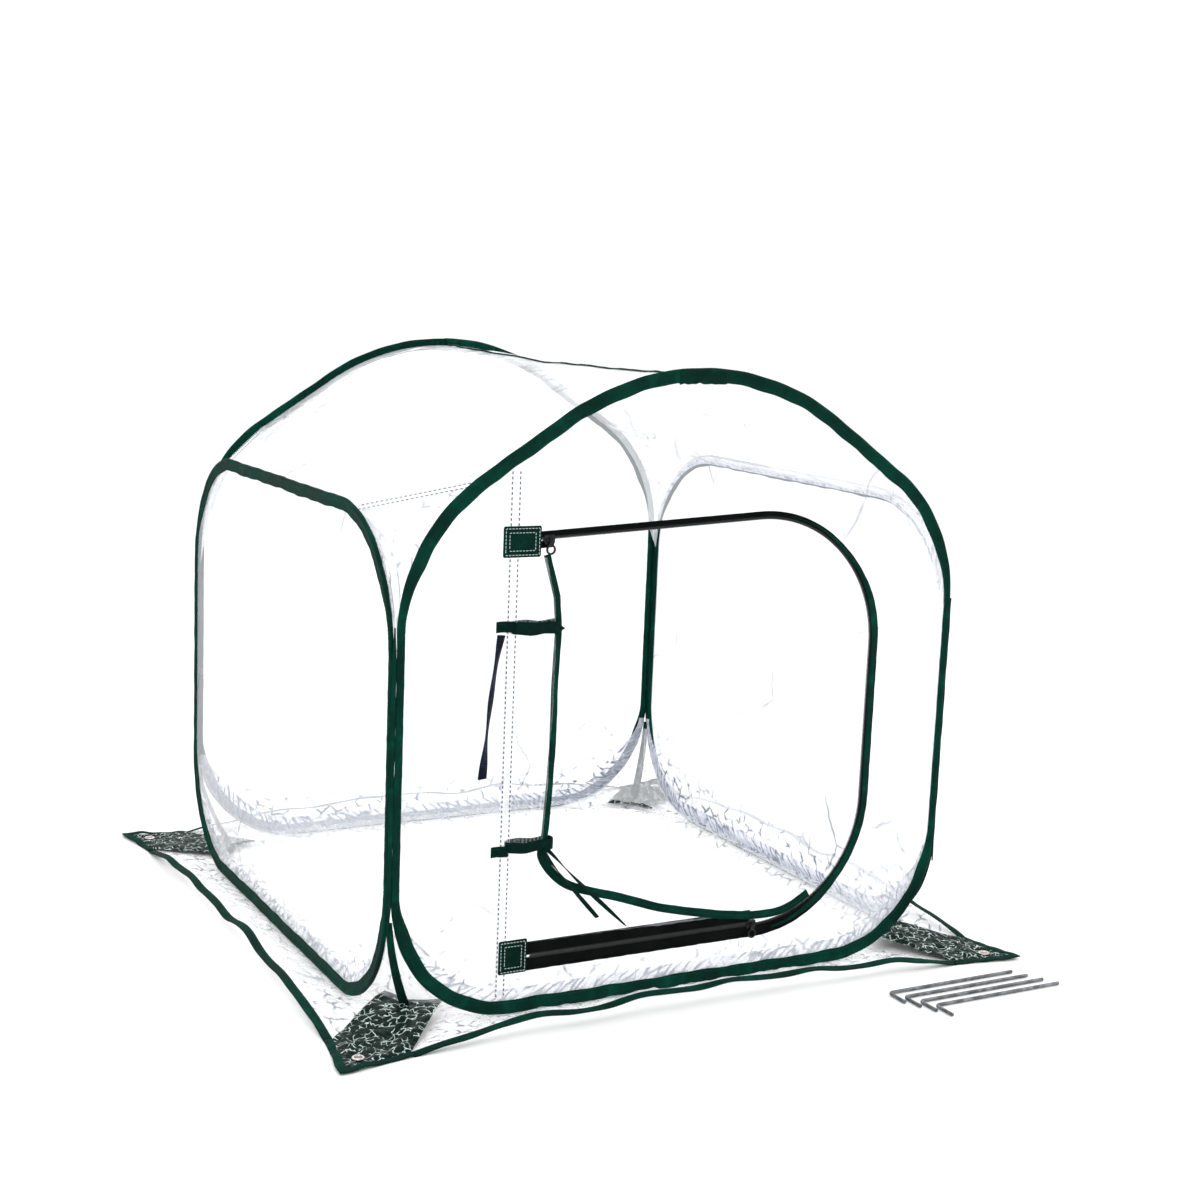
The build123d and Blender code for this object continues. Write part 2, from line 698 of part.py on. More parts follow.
# ---- Door flap: the gathered, tied-back part and the part still zipped in along the bottom ----
with BuildPart() as gather:
    gather_sections = []
    half_x, half_y = GATHER_HALF
    for section_z, width_share, depth_share in GATHER_SECTIONS:
        with BuildSketch(Plane.XY.offset(section_z)) as gather_section:
            with Locations((GATHER_X, -WALL_OUT)):
                Ellipse(half_x * width_share, half_y * depth_share)
        gather_sections.append(gather_section.sketch)
    loft(gather_sections)
save(gather, "door_flap_gathered")

with BuildPart() as door_edge:
    with BuildSketch(FRONT):
        with Locations((EDGE_X, sum(GATHER_Z) / 2)):
            RectangleRounded(EDGE_WIDTH, GATHER_Z[1] - GATHER_Z[0], EDGE_CORNER_R)
    extrude(amount=EDGE_THICKNESS / 2, both=True)
save(door_edge, "door_edge_binding")

EDGE_CURVE = [(ZIPPED_TO_X, 88.0), (0.0, 100.0), (-90.0, 124.0), (-150.0, 145.0), (-178.0, 176.0)]
ZIP_CLEAR_Z = ZIP_BOTTOM_Z + TAPE_FAR

with BuildSketch(FRONT) as edge_strip:
    with BuildLine() as edge_line:
        Spline(*EDGE_CURVE)
    trace(line_width=EDGE_WIDTH)

with BuildPart() as lower_edge:
    extrude(edge_strip.sketch, amount=EDGE_THICKNESS / 2, both=True)
save(lower_edge, "door_edge_binding_lower")

with BuildPart() as lower_flap:
    with BuildSketch(FRONT):
        with BuildLine():
            Spline(*EDGE_CURVE)
            Polyline(
                EDGE_CURVE[-1],
                (SEAM_X, EDGE_CURVE[-1][1]),
                (SEAM_X, ZIP_CLEAR_Z),
                (ZIPPED_TO_X, ZIP_CLEAR_Z),
                EDGE_CURVE[0],
            )
        make_face()
    extrude(amount=FILM / 2, both=True)
    extrude(edge_strip.sketch, amount=EDGE_THICKNESS, both=True, mode=Mode.SUBTRACT)
save(lower_flap, "door_flap_lower")


# ---- Ties ----
def tie_loop(z):
    """A strap right round the gathered flap."""
    left = GATHER_X - GATHER_HALF[0] - TIE_CLEAR
    right = EDGE_X + EDGE_WIDTH / 2 + TIE_CLEAR
    width = right - left
    depth = 2 * (GATHER_HALF[1] + TIE_CLEAR)
    centre_x = (left + right) / 2
    with BuildSketch(Plane.XY.offset(z - TIE_HEIGHT / 2)) as strap:
        with Locations((centre_x, -WALL_OUT)):
            RectangleRounded(width + 2 * TIE_THICKNESS, depth + 2 * TIE_THICKNESS, depth / 2)
            RectangleRounded(width, depth, depth / 2 - TIE_THICKNESS, mode=Mode.SUBTRACT)
    return strap.sketch


with BuildPart() as tie_upper:
    extrude(tie_loop(TIE_UPPER_Z), amount=TIE_HEIGHT)
save(tie_upper, "tie_upper")

RIBBON_OUT = GATHER_HALF[1] + 2 * TIE_CLEAR
with BuildPart() as tie_lower:
    extrude(tie_loop(TIE_LOWER_Z), amount=TIE_HEIGHT)
    # Two loose ribbon ends hang in front of the zipped part.
    with BuildSketch(FRONT.offset(RIBBON_OUT)):
        for start, end in RIBBON_LINES:
            with BuildLine():
                Line(start, end)
            trace(line_width=RIBBON_WIDTH)
    extrude(amount=TIE_THICKNESS)
save(tie_lower, "tie_lower")

with BuildPart() as tie_tail:
    # The upper tie's long end hangs inside the wall, left of the seam.
    with BuildSketch(FRONT.offset(-EDGE_WIDTH / 2)):
        with BuildLine():
            Spline(*TAIL_CURVE)
        trace(line_width=TIE_HEIGHT)
    extrude(amount=TIE_THICKNESS)
save(tie_tail, "tie_upper_tail")

# ---- Ground stakes, laid side by side on the ground in front of the greenhouse ----
with BuildPart() as stakes:
    for k in range(STAKE_COUNT):
        x = STAKE_FIRST[0] + k * STAKE_STEP[0]
        y = STAKE_FIRST[1] + k * STAKE_STEP[1]
        with BuildLine(Plane.XY.offset(STAKE_R)) as stake_line:
            FilletPolyline((x + STAKE_LENGTH, y), (x, y), (x, y - STAKE_ARM), radius=STAKE_BEND_R)
        with BuildSketch(Plane(origin=stake_line.line @ 0, z_dir=stake_line.line % 0)):
            Circle(STAKE_R)
        sweep(path=stake_line.line)
save(stakes, "ground_stakes")
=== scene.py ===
"""Looks of the mini pop-up greenhouse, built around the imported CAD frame.

Places and sizes are millimetres in the part's own frame: +X right, +Y back, +Z up, from the floor's middle.
piece() turns them to metres. A wall's own places are x along it, z up and n outward from its middle plane.
"""
import math

import bmesh
import bpy
import numpy as np
from mathutils import Matrix, Vector
from mathutils.geometry import delaunay_2d_cdt


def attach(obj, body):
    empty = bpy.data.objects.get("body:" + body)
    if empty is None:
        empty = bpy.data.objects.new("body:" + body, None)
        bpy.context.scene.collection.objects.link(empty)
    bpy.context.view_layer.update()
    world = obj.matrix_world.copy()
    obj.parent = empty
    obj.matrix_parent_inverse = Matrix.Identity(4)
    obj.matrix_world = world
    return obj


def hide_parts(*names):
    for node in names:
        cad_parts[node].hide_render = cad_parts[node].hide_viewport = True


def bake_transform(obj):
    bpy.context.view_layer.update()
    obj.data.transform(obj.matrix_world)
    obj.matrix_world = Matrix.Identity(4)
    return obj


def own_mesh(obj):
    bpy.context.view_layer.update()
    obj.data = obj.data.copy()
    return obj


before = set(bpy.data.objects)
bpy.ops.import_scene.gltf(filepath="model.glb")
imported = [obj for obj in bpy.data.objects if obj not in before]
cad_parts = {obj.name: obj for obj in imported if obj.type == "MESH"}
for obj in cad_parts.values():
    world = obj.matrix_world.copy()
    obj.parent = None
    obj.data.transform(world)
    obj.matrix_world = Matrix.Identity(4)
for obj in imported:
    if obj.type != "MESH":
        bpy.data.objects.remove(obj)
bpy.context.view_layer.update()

MM = 0.001

# ---- Driving dimensions, as in the part ----
WALL_OUT = 356.3  # a wall's middle plane, from the centre
BAND_WIDTH = 19.0
LOOP_HALF = 343.5
LIFT = 10.5
ARCH_SHOULDER_Z = 525.0
ARCH_APEX_Z = 755.0
ARCH_BOTTOM_R = 135.0
ARCH_SHOULDER_R = 182.0
ARCH_APEX_R = 305.0
SIDE_TOP_Z = 541.0
SIDE_BOTTOM_R = 125.0
SIDE_TOP_R = 145.0
FILM_EDGE = 2.4  # the film's edge inside the binding

FLOOR_CORNER = 312.0
FLOOR_EDGE = 352.6
FLOOR_RUN = LOOP_HALF - ARCH_BOTTOM_R
SKIRT_INNER = 353.0
SKIRT_OUT = 412.0
SKIRT_RUN = 350.0
TIP_OUT = 428.0
PATCH_SHARE = 0.66
EYELET_AT = 405.0
GUSSET_TOP_Z = 125.0
GUSSET_BITE = 3.5
GUSSET_BELLY = 1.6
STRIP_TOP_Z = 92.0

ROOF_Y = 352.4
ROOF_X = 352.0
SEAM_ARCH_X = 262.0
SEAM_SIDE_Y = 232.0
FLANK = math.atan2(ARCH_APEX_Z - ARCH_SHOULDER_Z, LOOP_HALF)
APEX_CENTRE_Z = ARCH_APEX_Z - ARCH_APEX_R / math.cos(FLANK)

SEAM_X = -226.0
ZIP_BOTTOM_Z = 64.0
ZIP_RIGHT_X = 237.0
ZIP_TOP_Z = (519.0, 545.0)  # at the seam and at the right-hand corner
ZIP_BOTTOM_R = 140.0
ZIP_TOP_R = 150.0
TAPE_FAR = 16.5
ZIPPED_TO_X = 95.0
TOP_ZIPPED_TO_X = -179.0
GATHER_LEFT = -223.0
GATHER_Z = (187.0, 497.0)
TIE_UPPER_Z = 428.0
TIE_LOWER_Z = 190.0

LOOP_FOOT = [(-LOOP_HALF, LIFT), (LOOP_HALF, LIFT)]
ARCH_LOOP = (
    LOOP_FOOT + [(LOOP_HALF, ARCH_SHOULDER_Z), (0, ARCH_APEX_Z), (-LOOP_HALF, ARCH_SHOULDER_Z)],
    [ARCH_BOTTOM_R, ARCH_BOTTOM_R, ARCH_SHOULDER_R, ARCH_APEX_R, ARCH_SHOULDER_R],
)
SIDE_LOOP = (
    LOOP_FOOT + [(LOOP_HALF, SIDE_TOP_Z), (-LOOP_HALF, SIDE_TOP_Z)],
    [SIDE_BOTTOM_R, SIDE_BOTTOM_R, SIDE_TOP_R, SIDE_TOP_R],
)
# Each wall's outline, then the directions along it and outward, seen from above.
WALLS = {
    "front": (ARCH_LOOP, (1, 0), (0, -1)),
    "right": (SIDE_LOOP, (0, 1), (1, 0)),
    "back": (ARCH_LOOP, (-1, 0), (0, 1)),
    "left": (SIDE_LOOP, (0, -1), (-1, 0)),
}
# Each corner's side of X and Y, and the two bodies beside it.
CORNERS = {
    "front_left": (-1, -1, "front_wall", "left_wall"),
    "front_right": (1, -1, "front_wall", "right_wall"),
    "back_left": (-1, 1, "back_wall", "left_wall"),
    "back_right": (1, 1, "back_wall", None),
}


# ---- Numbers and lines ----
def smooth(t):
    t = np.clip(t, 0, 1)
    return t * t * (3 - 2 * t)


def unit(v):
    return v / np.linalg.norm(v, axis=-1, keepdims=True)


def ripple(t, lengths, seed, total=None):
    """A smooth wave between -1 and 1 of several wavelengths, which closes on itself over a total."""
    phases = np.random.default_rng(seed).uniform(0, 2 * np.pi, len(lengths))
    wave = 0
    for length, phase in zip(lengths, phases):
        if total:
            length = total / round(total / length)
        wave = wave + np.sin(2 * np.pi * t / length + phase)
    return wave / len(lengths)


def crumple(u, v, size, seed):
    """The height of crumpled film, between -1 and 1: sharp creases in many directions."""
    draw = np.random.default_rng(seed)
    height, weight = 0, 0
    for share in (1.0, 0.62, 0.38):
        for _ in range(3):
            angle, phase, warp = draw.uniform(0, 2 * np.pi, 3)
            along = (u * math.cos(angle) + v * math.sin(angle)) / (size * share)
            across = (v * math.cos(angle) - u * math.sin(angle)) / (size * share)
            wave = along + 0.8 * np.sin(across * 0.9 + phase) + 0.4 * np.sin(across * 2.3 + warp)
            height = height + share * (2 * np.abs(wave % 2 - 1) - 1)
            weight += share
    return height / weight * 1.8


def grown(loop, by):
    """The outline moved outward: every side by the same distance, every arc to match."""
    corners, radii = loop
    moved = []
    for i, corner in enumerate(corners):
        before, after = corners[i - 1], corners[(i + 1) % len(corners)]
        runs = [unit(np.subtract(corner, before)), unit(np.subtract(after, corner))]
        sides = [np.array([run[1], -run[0]]) for run in runs]
        moved.append(tuple(np.add(corner, (sides[0] + sides[1]) * by / (1 + sides[0] @ sides[1]))))
    return moved, [r + by if r else 0 for r in radii]


def rounded(loop, step, closed=True):
    """Points round an outline with rounded corners, no further apart than a step."""
    corners = np.array(loop[0], float)
    runs = []
    for i, here in enumerate(corners):
        radius = loop[1][i]
        if not radius:
            runs.append(here[None])
            continue
        a = unit(corners[i - 1] - here)
        b = unit(corners[(i + 1) % len(corners)] - here)
        half = math.acos(a @ b) / 2
        start = here + a * radius / math.tan(half)
        centre = here + unit(a + b) * radius / math.sin(half)
        first = math.atan2(*(start - centre)[::-1])
        turn = math.pi - 2 * half
        angles = first + np.linspace(0, turn, max(3, math.ceil(radius * turn / step) + 1))
        runs.append(centre + radius * np.stack([np.cos(angles), np.sin(angles)], -1))
    points = []
    for i, run in enumerate(runs):
        points.append(run)
        if i + 1 < len(runs) or closed:
            end, ahead = run[-1], runs[(i + 1) % len(runs)][0]
            count = max(1, math.ceil(np.linalg.norm(ahead - end) / step))
            shares = np.arange(1, count)[:, None] / count
            points.append(end + (ahead - end) * shares)
    return np.vstack(points)


def curve_through(points, step):
    """Evenly spaced points on a smooth curve through a few chosen ones."""
    points = np.array(points, float)
    ends = np.vstack([2 * points[0] - points[1], points, 2 * points[-1] - points[-2]])
    fine = []
    for k in range(len(points) - 1):
        p0, p1, p2, p3 = ends[k : k + 4]
        for t in np.arange(24) / 24:
            bend = 2 * p0 - 5 * p1 + 4 * p2 - p3
            fine.append((2 * p1 + (p2 - p0) * t + bend * t**2 + (3 * p1 - p0 - 3 * p2 + p3) * t**3) / 2)
    fine.append(points[-1])
    fine = np.array(fine)
    along = np.concatenate([[0], np.cumsum(np.linalg.norm(np.diff(fine, axis=0), axis=1))])
    even = np.linspace(0, along[-1], max(2, round(along[-1] / step) + 1))
    return np.stack([np.interp(even, along, fine[:, k]) for k in range(fine.shape[1])], -1)


class Path:
    """A line in a wall: its points, the direction outward at each, and the distance along it."""

    def __init__(self, points, closed=False):
        self.points, self.closed = np.array(points, float), closed
        if closed:
            ahead, behind = np.roll(self.points, -1, 0), np.roll(self.points, 1, 0)
        else:
            ahead = np.vstack([self.points[1:], self.points[-1:]])
            behind = np.vstack([self.points[:1], self.points[:-1]])
        run = unit(ahead - behind)
        self.out = np.stack([run[:, 1], -run[:, 0]], -1)
        ring = np.vstack([self.points, self.points[:1]]) if closed else self.points
        lengths = np.linalg.norm(np.diff(ring, axis=0), axis=1)
        self.total = float(lengths.sum())
        self.along = np.concatenate([[0], np.cumsum(lengths)])[: len(self.points)]

    def marks(self, spacing, start=0.0, end=None):
        """Evenly spaced places on the line, as (points, outward directions)."""
        at = np.arange(start, self.total if end is None else end, spacing)
        point = np.stack([np.interp(at, self.along, self.points[:, k]) for k in (0, 1)], -1)
        out = np.stack([np.interp(at, self.along, self.out[:, k]) for k in (0, 1)], -1)
        return point, unit(out)

    def where(self, keep):
        """The stretch of an open line whose points pass a test."""
        return Path(self.points[keep(self.points)])


def on_wall(wall, x, z, n):
    """Places in the row frame from places on a wall."""
    _, run, out = WALLS[wall]
    x, z, n = np.broadcast_arrays(x, z, n)
    return np.stack([run[0] * x + out[0] * (WALL_OUT + n), run[1] * x + out[1] * (WALL_OUT + n), z], -1)


def wall_vector(wall, x, z):
    """Directions in the row frame from directions in a wall's plane."""
    run = WALLS[wall][1]
    return np.stack([run[0] * x, run[1] * x, z], -1)


def wall_normal(wall):
    return np.array([*WALLS[wall][2], 0.0])


# ---- Meshes ----
def piece(name, points, faces, material, flat=None, corner_flat=None, crinkle=None):
    """A smooth mesh piece. flat gives each point's place on the cloth before it was sewn, for the UV map."""
    mesh = bpy.data.meshes.new(name)
    mesh.from_pydata((np.asarray(points, float) * MM).tolist(), [], [list(f) for f in faces])
    if corner_flat is None:
        corners = np.empty(len(mesh.loops), int)
        mesh.loops.foreach_get("vertex_index", corners)
        corner_flat = np.asarray(flat)[corners]
    layer = mesh.uv_layers.new(name="UVMap")
    layer.data.foreach_set("uv", (np.asarray(corner_flat) * MM).astype(np.float32).ravel())
    if crinkle is not None:
        attribute = mesh.attributes.new("crinkle", "FLOAT", "POINT")
        attribute.data.foreach_set("value", np.asarray(crinkle, np.float32).ravel())
    mesh.shade_smooth()
    mesh.materials.append(material)
    obj = bpy.data.objects.new(name, mesh)
    bpy.context.scene.collection.objects.link(obj)
    return obj


def face_outward(obj):
    work = bmesh.new()
    work.from_mesh(obj.data)
    bmesh.ops.recalc_face_normals(work, faces=work.faces)
    work.to_mesh(obj.data)
    work.free()


def grid_faces(rows, cols, wrap_rows=False, wrap_cols=False):
    """Quads of a grid, and the row and column of every quad's corners."""
    i, j = np.meshgrid(
        np.arange(rows if wrap_rows else rows - 1), np.arange(cols if wrap_cols else cols - 1), indexing="ij"
    )
    corner_rows = np.stack([i, i + 1, i + 1, i], -1).reshape(-1, 4)
    corner_cols = np.stack([j, j, j + 1, j + 1], -1).reshape(-1, 4)
    return (corner_rows % rows) * cols + corner_cols % cols, corner_rows, corner_cols


def surface(name, points, flat, material, crinkle=None):
    """An open sheet from a grid of places, rows by columns."""
    rows, cols = points.shape[:2]
    faces, _, _ = grid_faces(rows, cols)
    return piece(
        name,
        points.reshape(-1, 3),
        faces,
        material,
        flat=flat.reshape(-1, 2),
        crinkle=None if crinkle is None else crinkle.reshape(-1),
    )


def swept(name, centres, out, normal, profile, material, closed=False):
    """A closed profile carried along a line: each of its points is (along out, along normal)."""
    profile = np.broadcast_to(profile, (len(centres), *np.shape(profile)[-2:]))
    rows, cols = profile.shape[:2]
    points = centres[:, None] + out[:, None] * profile[..., :1] + normal[:, None] * profile[..., 1:]
    faces, corner_rows, corner_cols = grid_faces(rows, cols, closed, True)
    steps = np.linalg.norm(np.diff(np.vstack([centres, centres[:1]]), axis=0), axis=1)
    along = np.concatenate([[0], np.cumsum(steps)])
    ring = np.vstack([profile[0], profile[0, :1]])
    around = np.concatenate([[0], np.cumsum(np.linalg.norm(np.diff(ring, axis=0), axis=1))])
    corner_flat = np.stack([along[corner_rows], around[corner_cols]], -1).reshape(-1, 2)
    faces = faces.tolist()
    if not closed:
        for row in (0, rows - 1):
            faces.append([row * cols + k for k in range(cols)])
            corner_flat = np.vstack([corner_flat, np.stack([np.full(cols, along[row]), around[:-1]], -1)])
    made = piece(name, points.reshape(-1, 3), faces, material, corner_flat=corner_flat)
    face_outward(made)
    return made


def wall_band(name, wall, path, profile, material):
    """A closed profile carried along a path in a wall."""
    centres = on_wall(wall, path.points[:, 0], path.points[:, 1], 0.0)
    out = wall_vector(wall, path.out[:, 0], path.out[:, 1])
    normal = np.broadcast_to(wall_normal(wall), centres.shape)
    return swept(name, centres, out, normal, profile, material, path.closed)


# A rounded bead: places along its length, and how full it is there.
BEAD_RINGS = ((-0.5, 0.35), (-0.34, 1.0), (0.34, 1.0), (0.5, 0.35))
BEAD_SIDES = 6


def beads(name, places, along, up, size, material):
    """Many small rounded beads as one piece, such as stitches; size is (length, width, height)."""
    side = unit(np.cross(up, along))
    turns = 2 * np.pi * (np.arange(BEAD_SIDES) + 0.5) / BEAD_SIDES
    template = np.array(
        [
            (at * size[0], full * math.cos(turn) * size[1] / 2, full * math.sin(turn) * size[2] / 2)
            for at, full in BEAD_RINGS
            for turn in turns
        ]
    )
    points = (
        places[:, None]
        + along[:, None] * template[None, :, :1]
        + side[:, None] * template[None, :, 1:2]
        + up[:, None] * template[None, :, 2:]
    )
    count = len(template)
    quads, _, _ = grid_faces(len(BEAD_RINGS), BEAD_SIDES, wrap_cols=True)
    caps = [list(range(BEAD_SIDES))[::-1], list(range(count - BEAD_SIDES, count))]
    faces = []
    for k in range(len(places)):
        faces += (quads + k * count).tolist()
        faces += [[v + k * count for v in cap] for cap in caps]
    flat = np.tile(template[:, :2], (len(places), 1))
    made = piece(name, points.reshape(-1, 3), faces, material, flat=flat)
    face_outward(made)
    return made


def stitch_row(name, wall, lines, n, pitch, material, thread=0.45):
    """Rows of stitches on one face of a wall, along paths."""
    places, along = [], []
    for line in lines:
        point, out = line.marks(pitch, pitch / 2)
        places.append(on_wall(wall, point[:, 0], point[:, 1], n))
        along.append(wall_vector(wall, -out[:, 1], out[:, 0]))
    places, along = np.vstack(places), np.vstack(along)
    up = np.broadcast_to(wall_normal(wall) * (1 if n > 0 else -1), places.shape)
    return beads(name, places, along, up, (pitch * 0.72, thread, thread), material)


def inside(points, ring):
    """Which points lie inside a closed outline."""
    x, y = points[:, :1], points[:, 1:]
    x0, y0 = ring[None, :, 0], ring[None, :, 1]
    x1, y1 = np.roll(x0, -1, 1), np.roll(y0, -1, 1)
    rise = np.where(y1 == y0, 1e-9, y1 - y0)
    crosses = ((y0 > y) != (y1 > y)) & (x < (x1 - x0) * (y - y0) / rise + x0)
    return crosses.sum(1) % 2 == 1


def distance_to(points, ring):
    """Each point's distance to a closed outline."""
    start, run = ring[None], np.roll(ring, -1, 0)[None] - ring[None]
    offset = points[:, None] - start
    share = np.clip((offset * run).sum(-1) / (run**2).sum(-1).clip(1e-9), 0, 1)
    return np.linalg.norm(offset - run * share[..., None], axis=-1).min(1)


def cut_sheet(outline, holes, spacing, seed):
    """Triangles over a flat outline with holes: points, faces and each point's distance to an edge."""
    rings = [np.asarray(outline, float), *[np.asarray(hole, float) for hole in holes]]
    low, high = rings[0].min(0), rings[0].max(0)
    rows = np.arange(low[1], high[1], spacing * 0.866)
    grid = np.array([(x + (k % 2) * spacing / 2, y) for k, y in enumerate(rows)
                     for x in np.arange(low[0], high[0], spacing)])
    grid += np.random.default_rng(seed).uniform(-0.16, 0.16, grid.shape) * spacing
    keep = inside(grid, rings[0])
    for ring in rings[1:]:
        keep &= ~inside(grid, ring)
    grid = grid[keep]
    near = np.min([distance_to(grid, ring) for ring in rings], axis=0)
    grid = grid[near > spacing * 0.55]
    edges, first = [], 0
    for ring in rings:
        count = len(ring)
        edges += [(first + k, first + (k + 1) % count) for k in range(count)]
        first += count
    found = delaunay_2d_cdt([Vector(p) for p in np.vstack([*rings, grid])], edges, [], 0, 1e-6)
    points, faces = np.array([v[:] for v in found[0]]), np.array(found[2])
    centres = points[faces].mean(1)
    keep = inside(centres, rings[0])
    for ring in rings[1:]:
        keep &= ~inside(centres, ring)
    edge = np.min([distance_to(points, ring) for ring in rings], axis=0)
    return points, faces[keep], edge


# ---- Materials ----
def blank(name):
    material = bpy.data.materials.new(name)
    material.use_nodes = True
    tree = material.node_tree
    tree.nodes.clear()
    return material, tree, tree.nodes.new("ShaderNodeOutputMaterial")


def node(tree, kind, inputs=None, **settings):
    """A node with its settings; an input may be a value or another node's output."""
    made = tree.nodes.new(kind)
    for key, value in settings.items():
        setattr(made, key, value)
    for key, value in (inputs or {}).items():
        if isinstance(value, bpy.types.NodeSocket):
            tree.links.new(value, made.inputs[key])
        else:
            made.inputs[key].default_value = value
    return made


def calc(tree, operation, a, b=0.0, clamp=False):
    return node(tree, "ShaderNodeMath", {0: a, 1: b}, operation=operation, use_clamp=clamp).outputs[0]


def total(tree, *terms):
    whole = terms[0]
    for term in terms[1:]:
        whole = calc(tree, "ADD", whole, term)
    return whole


def remap(tree, value, low, high, to_low=0.0, to_high=1.0):
    made = node(
        tree,
        "ShaderNodeMapRange",
        {"Value": value, "From Min": low, "From Max": high, "To Min": to_low, "To Max": to_high},
        interpolation_type="SMOOTHSTEP",
    )
    return made.outputs["Result"]


def blend_colour(tree, share, a, b):
    made = node(tree, "ShaderNodeMix", {"Factor": share}, data_type="RGBA")
    for socket, value in ((made.inputs[6], a), (made.inputs[7], b)):
        if isinstance(value, bpy.types.NodeSocket):
            tree.links.new(value, socket)
        else:
            socket.default_value = (*value, 1.0)
    return made.outputs[2]


def cloth_place(tree):
    """A point's place on the flat cloth, in metres."""
    return node(tree, "ShaderNodeUVMap", uv_map="UVMap").outputs["UV"]


def noise(tree, place, scale, detail=2.0, roughness=0.5):
    sockets = {"Vector": place, "Scale": scale, "Detail": detail, "Roughness": roughness}
    return node(tree, "ShaderNodeTexNoise", sockets)


def warped(tree, place, scale, by):
    """The place pushed about by noise, so that a pattern on it bends."""
    shift = noise(tree, place, scale, 3.0).outputs["Color"]
    middle = {0: shift, 1: (0.5, 0.5, 0.5)}
    centred = node(tree, "ShaderNodeVectorMath", middle, operation="SUBTRACT").outputs[0]
    scaled = node(tree, "ShaderNodeVectorMath", {0: centred, "Scale": by}, operation="SCALE").outputs[0]
    return node(tree, "ShaderNodeVectorMath", {0: place, 1: scaled}, operation="ADD").outputs[0]


def crease_distance(tree, place, scale):
    made = node(
        tree, "ShaderNodeTexVoronoi", {"Vector": place, "Scale": scale}, voronoi_dimensions="2D",
        feature="DISTANCE_TO_EDGE",
    )
    return made.outputs["Distance"]


# Film colours: white for the film's own milky veil; lilac and the crease grey are painted shade of crumpled film and
# its creases.
FILM_WHITE = (0.93, 0.945, 0.985)
FILM_LILAC_SHADE = (0.70, 0.72, 0.83)
FILM_CREASE_SHADE = (0.11, 0.14, 0.20)


def film_material(
    name, haze, creases, crinkles, gloss=0.4, tint=FILM_WHITE, web=8.0, dense=0.0, drawn=1.0, mesh=52.0
):
    """Clear film: see-through, glossy, with a web of fine creases that thickens where it is crumpled; the creases are
    coloured grey as painted shade.
    """
    material, tree, out = blank(name)
    place = cloth_place(tree)
    crinkle = node(tree, "ShaderNodeAttribute", attribute_name="crinkle").outputs["Fac"]
    bent = warped(tree, place, 11.0, 0.06)
    wide = crease_distance(tree, bent, web)
    stretch = {0: place, 1: (1.0, drawn, 1.0)}
    pulled = node(tree, "ShaderNodeVectorMath", stretch, operation="MULTIPLY").outputs[0]
    fine = crease_distance(tree, warped(tree, pulled, 40.0, 0.02), mesh)
    patches = remap(tree, noise(tree, place, 6.0).outputs["Fac"], 0.5, 0.66)
    wide_line = calc(tree, "MULTIPLY", remap(tree, wide, 0.03, 0.0), patches)
    speckle = remap(tree, noise(tree, bent, 60.0, 3.0).outputs["Fac"], 0.42 - dense, 0.62 - dense)
    fine_line = calc(tree, "MULTIPLY", remap(tree, fine, 0.16 + dense, 0.0), speckle)
    crushed = calc(tree, "MULTIPLY", fine_line, crinkle)
    rough_height = noise(tree, bent, 70.0, 2.0).outputs["Fac"]
    height = total(
        tree,
        calc(tree, "MULTIPLY", calc(tree, "MINIMUM", wide, 0.12), 2.0),
        calc(tree, "MULTIPLY", calc(tree, "MULTIPLY", rough_height, crinkle), 1.2),
        calc(tree, "MULTIPLY", calc(tree, "MINIMUM", fine, 0.2), crinkle),
    )
    bump = node(tree, "ShaderNodeBump", {"Height": height, "Strength": 0.6, "Distance": 0.004}).outputs[0]
    fresnel = node(tree, "ShaderNodeFresnel", {"IOR": 1.4, "Normal": bump}).outputs[0]
    # Painted shade: the crease lines and crushed film are coloured towards grey, the dark that creased film shows.
    grey = calc(tree, "ADD", calc(tree, "MULTIPLY", wide_line, 0.8), crushed, clamp=True)
    cover = total(
        tree,
        calc(tree, "MULTIPLY", wide_line, creases),
        calc(tree, "MULTIPLY", crushed, crinkles),
        calc(tree, "MULTIPLY", fresnel, gloss),
        calc(tree, "MULTIPLY", crinkle, crinkles * 0.12),
    )
    # Light passes the film freely: only what is seen directly is veiled by it.
    seen = node(tree, "ShaderNodeLightPath").outputs["Is Camera Ray"]
    cover = calc(tree, "MULTIPLY", calc(tree, "ADD", cover, haze, clamp=True), seen)
    body = node(
        tree,
        "ShaderNodeBsdfPrincipled",
        {"Base Color": blend_colour(tree, grey, tint, FILM_CREASE_SHADE), "Normal": bump},
    )
    body.inputs["Roughness"].default_value = 0.16
    clear = node(tree, "ShaderNodeBsdfTransparent", {"Color": (0.995, 0.997, 0.996, 1.0)})
    mixed = node(tree, "ShaderNodeMixShader", {0: cover, 1: clear.outputs[0], 2: body.outputs[0]})
    tree.links.new(mixed.outputs[0], out.inputs["Surface"])
    return material


def weave_height(tree, place, pitch):
    """Crossing threads of a plain weave, as a height from 0 to 1."""
    split = node(tree, "ShaderNodeSeparateXYZ", {"Vector": place}).outputs
    turns = 2 * math.pi / pitch
    warp = calc(tree, "SINE", calc(tree, "MULTIPLY", split[0], turns))
    weft = calc(tree, "SINE", calc(tree, "MULTIPLY", split[1], turns))
    return remap(tree, calc(tree, "MULTIPLY", warp, weft), -1.0, 1.0)


